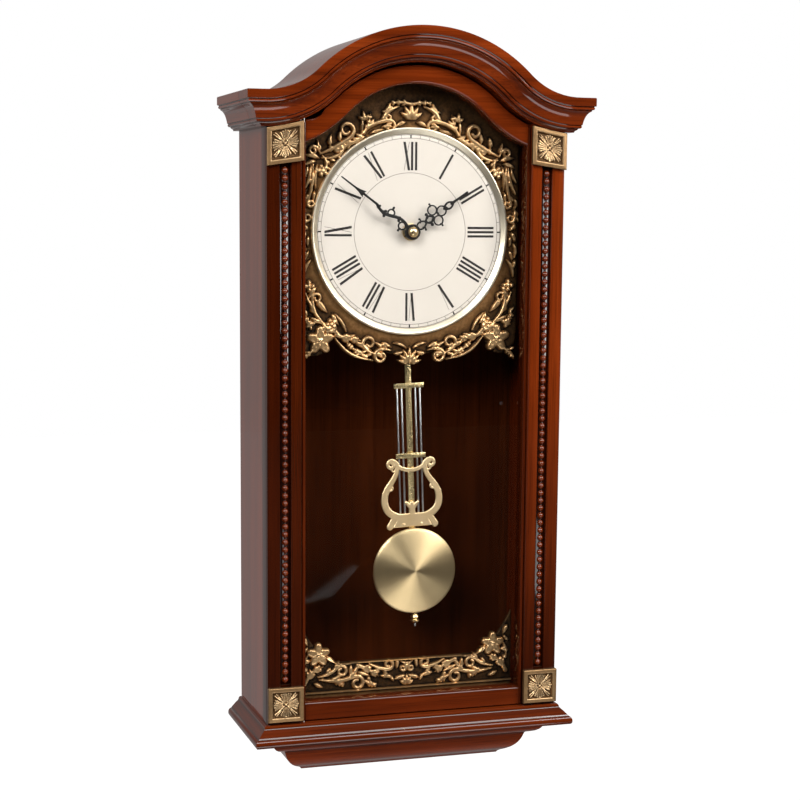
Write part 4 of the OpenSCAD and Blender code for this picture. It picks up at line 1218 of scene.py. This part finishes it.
def dial():
    """Card with its numerals and rings, and the bezel round it."""
    high = span_of("dial_face")[1]
    face = Shape()
    profile = [(5.2, high.y), (5.2, FACE_Y + .1), (5.4, FACE_Y)]
    profile += [(r, FACE_Y) for r in (20, 40, 60, 75, DIAL_R - .3)]
    profile += [(DIAL_R, FACE_Y + .2), (DIAL_R, high.y)]
    face.lathe(profile, DIAL, steps=180, ring=True)
    face.build("dial_face_card", "case", "dial_print", PAPER, ["dial_face"], sharp=40)

    inner, outer = 49.6, 72.4
    ink_y = FACE_Y - 0.06
    bold, fine = Shape(), Shape()

    def stroke(shape, place, a, b, width):
        corners = [(a[0] - width / 2, a[1]), (a[0] + width / 2, a[1]),
                   (b[0] + width / 2, b[1]), (b[0] - width / 2, b[1])]
        shape.prism([place(u, v) for u, v in corners], ink_y, FACE_Y + 0.02)

    for hour, word in enumerate(NUMERALS):
        place = clockwise(math.radians(30 * hour))
        u = -sum(ADVANCE[c] for c in word) / 2
        for c in word:
            u += ADVANCE[c] / 2
            if c == "I":
                stroke(bold, place, (u, outer), (u, inner), 1.9)
            elif c == "V":
                stroke(bold, place, (u - 1.95, outer), (u + .1, inner), 2.05)
                stroke(fine, place, (u + 2.2, outer), (u + .4, inner + .6), .34)
            else:
                stroke(bold, place, (u - 2.0, outer), (u + 2.0, inner), 2.1)
                stroke(fine, place, (u + 2.2, outer), (u - 2.2, inner), .34)
            u += ADVANCE[c] / 2
    for minute in range(60):
        place = clockwise(math.radians(6 * minute))
        if minute % 5:
            stroke(fine, place, (0, 77.9), (0, 75.3), .34)
        else:
            stroke(bold, place, (0, 78.2), (0, 75.2), 1.15)
    for radius, width in ((78.0, .36), (75.3, .36), (47.6, .34)):
        fine.lathe([(radius - width / 2, FACE_Y + .02), (radius - width / 2, ink_y),
                    (radius + width / 2, ink_y), (radius + width / 2, FACE_Y + .02)],
                   DIAL, steps=180, ring=True)
    bold.build("dial_numerals", "case", "dial_print", PRINT)
    fine.build("dial_track_lines", "case", "dial_print", FINE_PRINT)

    back = span_of("dial_bezel")[1].y
    profile = [(78.5, back), (78.5, -72.75), (78.7, -73.0), (79.6, -73.5), (80.6, -74.1),
               (81.6, -74.8), (82.3, -75.15), (82.9, -75.25), (83.5, -75.05), (84, -74.3),
               (84, back)]
    # tones: lower on the inner and outer walls as painted shade, a little higher on the face as
    # painted highlight
    tones = [.3, .3, .5, .6, .6, .6, .6, .6, .5, .4, .3]
    Shape().lathe([(r * BEZEL_R / 84, y) for r, y in profile], DIAL, steps=180, ring=True,
                  tones=tones).build("dial_bezel_spun", "case", "bezel_metal", BEZEL,
                                     ["dial_bezel"], sharp=30)


HAND_FULLNESS = 0.16


def hand(name, node, body, angle, draw, half, length):
    """Pierced flat hand, drawn pointing up and then turned to its place on the dial."""
    low, high = span_of(node)
    field = Field((-half, -8), (half, length + 1), 0.2)
    draw(field)
    field.inside += HAND_FULLNESS
    bevel = 0.18 * (1 - np.clip(field.inside / 0.35, 0, 1)) ** 2
    shape = field.mesh(low.y + bevel, high.y, 0.5)
    place = clockwise(angle)
    shape.turned(lambda x, y, z: (place(x, z)[0], y, place(x, z)[1]))
    shape.build(name, body, "black_enamel", ENAMEL, [node], sharp=40)


def ring(field, x, z, radius, width):
    """Open circle in a hand."""
    turn = [(x + radius * math.cos(a), z + radius * math.sin(a))
            for a in np.linspace(0, 2 * math.pi, 17)]
    field.stroke(turn, [width, width])


def bow(f, low_z, high_z, reach, width):
    """Two mirrored bows that part at one height of a hand and meet again at another."""
    for side in (-1, 1):
        f.stroke(bowed((0, low_z), (0, high_z), -side * reach), [width, width])


def spur(f, x, z, side, length, width):
    """Short thorn with a bulb at its tip, bent up and away from a hand's middle."""
    f.stroke(bowed((x, z), (x + side * length, z + 0.35 * length), side * 0.3 * length),
             [1.2 * width, .7 * width, .7 * width])
    f.ball(x + side * length, z + 0.35 * length, .7 * width)


def draw_minute(f):
    """Outline of the minute hand: twisted stem, rings, thorns and a spear."""
    waist, sway, head, tip = 38, 2.3, 52, 74.2
    f.ball(0, 0, 6.2)
    spine = [(sway * math.sin(2 * math.pi * t), 5 + (waist - 5) * t)
             for t in np.linspace(0, 1, 12)]
    f.stroke(spine, [2.6, 2.0, 2.4, 2.2, 1.8])
    for side, x, z, radius in ((1, -1.6, 10.5, 3.0), (-1, 1.4, 24, 2.8)):
        ring(f, x, z, radius, 1.0)
        spur(f, x - side * radius, z, -side, 1.8, 1.2)
        spur(f, x + side * 1.5, z + 4.5, side, 2.6, 1.5)
    spur(f, -sway, 27, -1, 1.8, 1.5)
    spur(f, .4, waist - 3, -1, 2.0, 1.3)
    f.stroke([(0, waist), (0, head + 3)], [1.6, 1.3, 1.8])
    f.area([(-2.7, head - 1), (0, head + .4), (2.7, head - 1), (1.2, head + 4), (.5, head + 9),
            (-.5, head + 9), (-1.2, head + 4)])
    f.stroke([(0, head + 3), (0, tip)], [1.4, .8])


def draw_hour(f):
    """Outline of the hour hand: bows, three rings and a spear."""
    waist, tip = 22, 57.2
    f.ball(0, 0, 6.0)
    bow(f, 4, 15, 3.0, 1.1)
    bow(f, 14, waist, 2.7, 1.4)
    for side in (-1, 1):
        spur(f, side * 2.4, 10, side, 2.6, 1.1)
        spur(f, side * 2.4, 17, side, 2.3, 1.7)
        ring(f, side * 4.9, waist + 2, 3.8, .9)
        spur(f, side * 8.4, waist + 2, side, 1.8, 1.0)
    ring(f, 0, waist + 8.4, 3.9, .9)
    f.ball(0, waist + 4.6, .9)
    bow(f, waist + 11, waist + 21, 2.5, 1.3)
    f.stroke([(-1.8, waist + 12.6), (1.8, waist + 14)], [1.2, 1.4])
    f.stroke([(0, waist + 19), (0, tip)], [2.2, 1.4, 1.4])
    f.hole(0, 0, span_of("minute_shaft")[1].x + 0.4)


def hands():
    """Both hands at the photographed time, with the cap, shaft and tube."""
    minute = math.radians(306)
    hour = math.radians(55.5)
    hand("minute_hand_pierced", "minute_hand", "minute_hand", minute, draw_minute, 12, 76)
    hand("hour_hand_pierced", "hour_hand", "hour_hand", hour, draw_hour, 13, 59)
    low, high = span_of("hand_cap")
    profile = [(0, high.y), (4.1, high.y), (4.2, high.y - .15), (4.2, high.y - 1.0),
               (4.0, high.y - 1.25), (3.5, high.y - 1.9), (2.7, high.y - 2.6),
               (1.5, high.y - 3.05), (0, low.y)]
    Shape().lathe(profile, DIAL, steps=64).build("hand_cap_turned", "minute_hand",
                                                 "bright_brass", BRASS, ["hand_cap"])
    refine("minute_shaft", "minute_hand", BRASS, 0.1)
    refine("hour_tube", "hour_hand", BRASS, 0.1)
    refine("centre_nut", "case", BRASS, 0.2)


# ---- Pendulum ----

def hang(t, s):
    """Place of a point of the pendulum, t to the right and s below its pivot, as it leans."""
    return (t * math.cos(LEAN) + s * math.sin(LEAN),
            PIVOT_Z - s * math.cos(LEAN) + t * math.sin(LEAN))


def hung(shape):
    """Hangs a shape drawn with x = t and z = -s on the leaning pendulum."""
    return shape.turned(lambda x, y, z: (hang(x, -z)[0], y, hang(x, -z)[1]))


def bezier(a, b, c, d, steps=8):
    """Points of the curve that leaves a towards b and reaches d from c."""
    return [tuple((1 - t) ** 3 * a[k] + 3 * t * (1 - t) ** 2 * b[k]
                  + 3 * t * t * (1 - t) * c[k] + t ** 3 * d[k] for k in (0, 1))
            for t in np.linspace(0, 1, steps)]


def lyre():
    """Fretted lyre on the curves of its plain plate, with scrolled tops, spurs and feet."""
    low, high = span_of("lyre_plate")
    f = Field((-29, -256), (29, -188), 0.25)
    arm = bezier((12, -200), (13, -212), (24, -216), (24, -228))
    foot = bezier((24, -228), (24, -236), (20, -240), (12, -243))
    horn = scroll((12, -202), (15, -195), 1.5, -2.9, 3.2)[0][0]
    tie = bezier((-13, -198), (-7, -205), (7, -205), (13, -198))
    f.stroke(tie, [3.4, 3.4], 1.0)
    for side in (-1, 1):
        def line(points, widths):
            f.stroke([(side * x, z) for x, z in points], widths, 1.0)

        line(arm + foot[1:], [4.0, 4.4, 5.2, 5.8, 6.0, 6.4])
        line(horn, [3.6, 3.2, 2.8, 2.8])
        thorn = [(25, -222), (21, -220), (18, -219.5)]
        line(thorn + roll(thorn[-2], thorn[-1], -2.0, 0.45), [2.4, 1.6, 1.6, 2.4])
        barb = [(13, -204), (16, -203.5)]
        line(barb + roll(barb[0], barb[1], 2.0, 0.4), [1.8, 1.4, 2.2])
        line([(0, -236), (5, -231)], [4.4, 2.6])
        line([(16, -244), (20, -250.5)], [5, 5.4])
    f.stroke([(0, -232), (0, -242)], [4, 6], 1.0)
    f.area([(-14.5, -240), (14.5, -240), (14.5, -246), (17.5, -251.5), (-17.5, -251.5),
            (-14.5, -246)])
    bevel = 0.5 * (1 - np.clip(f.inside / 0.8, 0, 1)) ** 2
    # tone rises towards the outline: painted highlight on the bevelled edges
    tone = 0.5 + 0.35 * np.exp(-np.clip(f.inside, 0, None) / 0.5)
    shape = f.mesh(low.y + bevel, high.y, tone)
    for t in (-7.6, 7.6):
        shape.lathe([(1.5, low.y + 0.1), (1.4, low.y - 0.25), (0.8, low.y - 0.5),
                     (0, low.y - 0.55)], (t, 0, -249.5), "y", 20)
    hung(shape).build("lyre_plate_fretted", "pendulum", "bright_brass", LYRE, ["lyre_plate"],
                      sharp=40)


def bob():
    """Round bob with a rolled edge and a gently domed front."""
    low, high = span_of("pendulum_bob")
    r = BOB_R
    profile = [(0, high.y), (r - 1.2, high.y), (r - .3, high.y - .4), (r, high.y - 1.2),
               (r - .1, high.y - 1.9), (r - .7, high.y - 2.6), (r - 1.6, high.y - 3.0)]
    # tones: painted highlight round the rolled edge, a touch of painted shade on the back just
    # inside it
    tones = [.5, .4, .5, .6, .6, .6, .55]
    for share in np.linspace(1, 0, 14):
        radius = (r - 2.2) * share
        profile.append((radius, high.y - 3.2 - (high.y - 3.2 - low.y) * (1 - share ** 2)))
        tones.append(0.5)
    shape = Shape().lathe(profile, (0, 0, -BOB_DROP), steps=160, tones=tones)
    hung(shape).build("pendulum_bob_spun", "pendulum", "bright_brass", SPUN, ["pendulum_bob"],
                      sharp=50)


def pendulum():
    """Everything that hangs on the pivot pin, and the pin."""
    for node, body, slot, finish, edge in (
            ("pendulum_pivot_pin", "case", "zinc_steel", ZINC, 0.2),
            ("pendulum_hook", "pendulum", "ivory_plastic", IVORY, 0.15),
            ("pendulum_rod", "pendulum", "bright_brass", HAMMERED, 0.25),
            ("pendulum_bars", "pendulum", "bright_brass", HAMMERED, 0.15),
            ("lyre_rods", "pendulum", "zinc_steel", ZINC, 0.35),
            ("rating_stem", "pendulum", "zinc_steel", ZINC, 0.1),
            ("rating_nut", "rating_nut", "bright_brass", BRASS, 0.15)):
        refine(node, body, finish, edge)
    lyre()
    bob()


# ---- Back, movement and the small moving parts of its rear ----

def works():
    """Pieces behind the dial and on the back, refined from their CAD shapes."""
    for node, body, slot, finish, edge in (
            ("back_board", "case", "veneered_board", BACK, 0.3),
            ("back_board_screws", "case", "zinc_steel", ZINC, 0.1),
            ("hanger_plate", "case", "zinc_steel", ZINC, 0.2),
            ("hanger_screws", "case", "zinc_steel", ZINC, 0.1),
            ("dial_board", "case", "veneered_board", VENEER, 0.3),
            ("movement_front_shell", "case", "black_plastic", BLACK, 0.5),
            ("movement_rear_shell", "case", "black_plastic", BLACK, 0.5),
            ("speaker", "case", "black_plastic", BLACK, 0.3),
            ("batteries", "case", "cell_jacket", JACKET, 0.3),
            ("battery_cover", "battery_cover", "black_plastic", BLACK, 0.3),
            ("set_knob", "set_knob", "ivory_plastic", IVORY, 0.15),
            ("volume_knob", "volume_knob", "black_plastic", BLACK, 0.15),
            ("chime_switch", "chime_switch", "ivory_plastic", IVORY, 0.3),
            ("test_button", "test_button", "red_plastic", SCARLET, 0.3)):
        refine(node, body, finish, edge)


# ---- Everything in place ----

crown_front()
crown_returns()
crown_roof()
base()
side_panels()
for side, word in SIDES:
    pilaster(side, word)
    bead_strip(side, word)
    rosette(side, word, "top")
    rosette(side, word, "bottom")
door()
upper_ornament()
lower_ornament()
dial()
hands()
pendulum()
works()


# ---- Floor, light and camera ----

def floor():
    """Wide pale floor well below the clock, which hangs on its wall mount; to all but camera rays
    it glows dimly, brighter towards the back, as painted bounce light.
    """
    size, drop = 30.0, -4.0
    mesh = bpy.data.meshes.new("studio_floor")
    mesh.from_pydata([(x * size, y * size, drop) for x, y in ((-1, -1), (1, -1), (1, 1), (-1, 1))],
                     [], [(0, 1, 2, 3)])
    sheet = bpy.data.objects.new("studio_floor", mesh)
    paint = Finish("studio_paint", Base_Color=(0.22, 0.21, 0.20, 1), Roughness=0.9)
    split = paint.nodes.new("ShaderNodeSeparateXYZ")
    paint.links.new(paint.place, split.inputs[0])
    behind = paint.nodes.new("ShaderNodeMapRange")
    behind.inputs["From Min"].default_value = -1.0
    behind.inputs["From Max"].default_value = 3.0
    paint.links.new(split.outputs["Y"], behind.inputs["Value"])
    # painted light: an emitted glow that grows towards the back, standing in for light bounced off
    # the floor
    painted_bounce_glow = paint.ramp(behind.outputs["Result"], [(0.0, 0.0), (1.0, 0.34)])
    seen = paint.nodes.new("ShaderNodeLightPath").outputs["Is Camera Ray"]
    paint.feed("Emission Color", paint.blend("MIX", seen, painted_bounce_glow, (1.0, 1.0, 1.0)))
    paint.shader.inputs["Emission Strength"].default_value = 1.0
    mesh.materials.append(paint.material)
    bpy.context.scene.collection.objects.link(sheet)


def lamp(name, place, target, size, power, tint=(1, 1, 1)):
    data = bpy.data.lights.new(name, "AREA")
    data.shape, data.size, data.size_y = "RECTANGLE", size[0], size[1]
    data.energy, data.color = power, tint
    light = bpy.data.objects.new(name, data)
    light.location = place
    light.rotation_euler = (Vector(target) - Vector(place)).to_track_quat("-Z", "Y").to_euler()
    bpy.context.scene.collection.objects.link(light)


def studio():
    """White to the camera, dim and graded to everything else, and five lamps."""
    world = bpy.data.worlds.new("studio_world")
    bpy.context.scene.world = world
    world.use_nodes = True
    nodes, links = world.node_tree.nodes, world.node_tree.links
    nodes.clear()
    out = nodes.new("ShaderNodeOutputWorld")
    path = nodes.new("ShaderNodeLightPath")
    seen = nodes.new("ShaderNodeBackground")
    seen.inputs["Color"].default_value = (1, 1, 1, 1)
    seen.inputs["Strength"].default_value = 1.0
    glow = nodes.new("ShaderNodeBackground")
    aim = nodes.new("ShaderNodeTexCoord")
    split = nodes.new("ShaderNodeSeparateXYZ")
    spread = nodes.new("ShaderNodeMapRange")
    spread.inputs["From Min"].default_value = -1.0
    spread.inputs["From Max"].default_value = 1.0
    shade = nodes.new("ShaderNodeValToRGB")
    levels = [(0.0, (0.008, 0.007, 0.006, 1)), (0.25, (0.03, 0.028, 0.025, 1)),
              (0.52, (0.28, 0.26, 0.24, 1)), (0.75, (0.41, 0.385, 0.375, 1))]
    while len(shade.color_ramp.elements) < len(levels):
        shade.color_ramp.elements.new(0.5)
    for element, (position, colour) in zip(shade.color_ramp.elements, levels):
        element.position, element.color = position, colour
    links.new(aim.outputs["Generated"], split.inputs[0])
    links.new(split.outputs["Y"], spread.inputs["Value"])
    links.new(spread.outputs["Result"], shade.inputs["Fac"])
    links.new(shade.outputs["Color"], glow.inputs["Color"])
    mix = nodes.new("ShaderNodeMixShader")
    links.new(path.outputs["Is Camera Ray"], mix.inputs["Fac"])
    links.new(glow.outputs[0], mix.inputs[1])
    links.new(seen.outputs[0], mix.inputs[2])
    links.new(mix.outputs[0], out.inputs["Surface"])
    middle = (0, -0.05, -0.27)
    lamp("key_left", (-1.5, -1.9, 1.1), middle, (1.1, 1.3), 80)
    lamp("key_right", (1.7, -1.7, 0.8), middle, (1.0, 1.6), 74, (1, 0.97, 0.94))
    lamp("key_high", (0.55, -1.8, 1.25), middle, (1.2, 0.8), 27)
    lamp("low_fill", (0.2, -1.5, -1.6), middle, (1.2, 0.6), 9)
    lamp("wall_left", (-2.2, 0.3, -0.1), middle, (1.4, 2.4), 12)


def camera():
    """The photograph's own view: place, turn, lens and shift come from a fit of the camera to the
    photograph.
    """
    data = bpy.data.cameras.new("camera")
    data.lens, data.sensor_width = 81.17, 36.0
    data.shift_x, data.shift_y = 0.01155, 0.0798
    data.clip_start, data.clip_end = 0.05, 60.0
    eye = bpy.data.objects.new("camera", data)
    turn = (Matrix.Rotation(math.radians(-17.31), 4, "Z")
            @ Matrix.Rotation(math.radians(-7.887), 4, "X")
            @ Matrix.Rotation(math.radians(-0.409), 4, "Y"))
    upright = Matrix.Rotation(math.radians(90), 4, "X")
    eye.matrix_world = Matrix.Translation((-0.45505, -1.48407, -0.10818)) @ turn @ upright
    bpy.context.scene.collection.objects.link(eye)
    bpy.context.scene.camera = eye
    bpy.context.scene.view_settings.view_transform = "Standard"


floor()
studio()
camera()
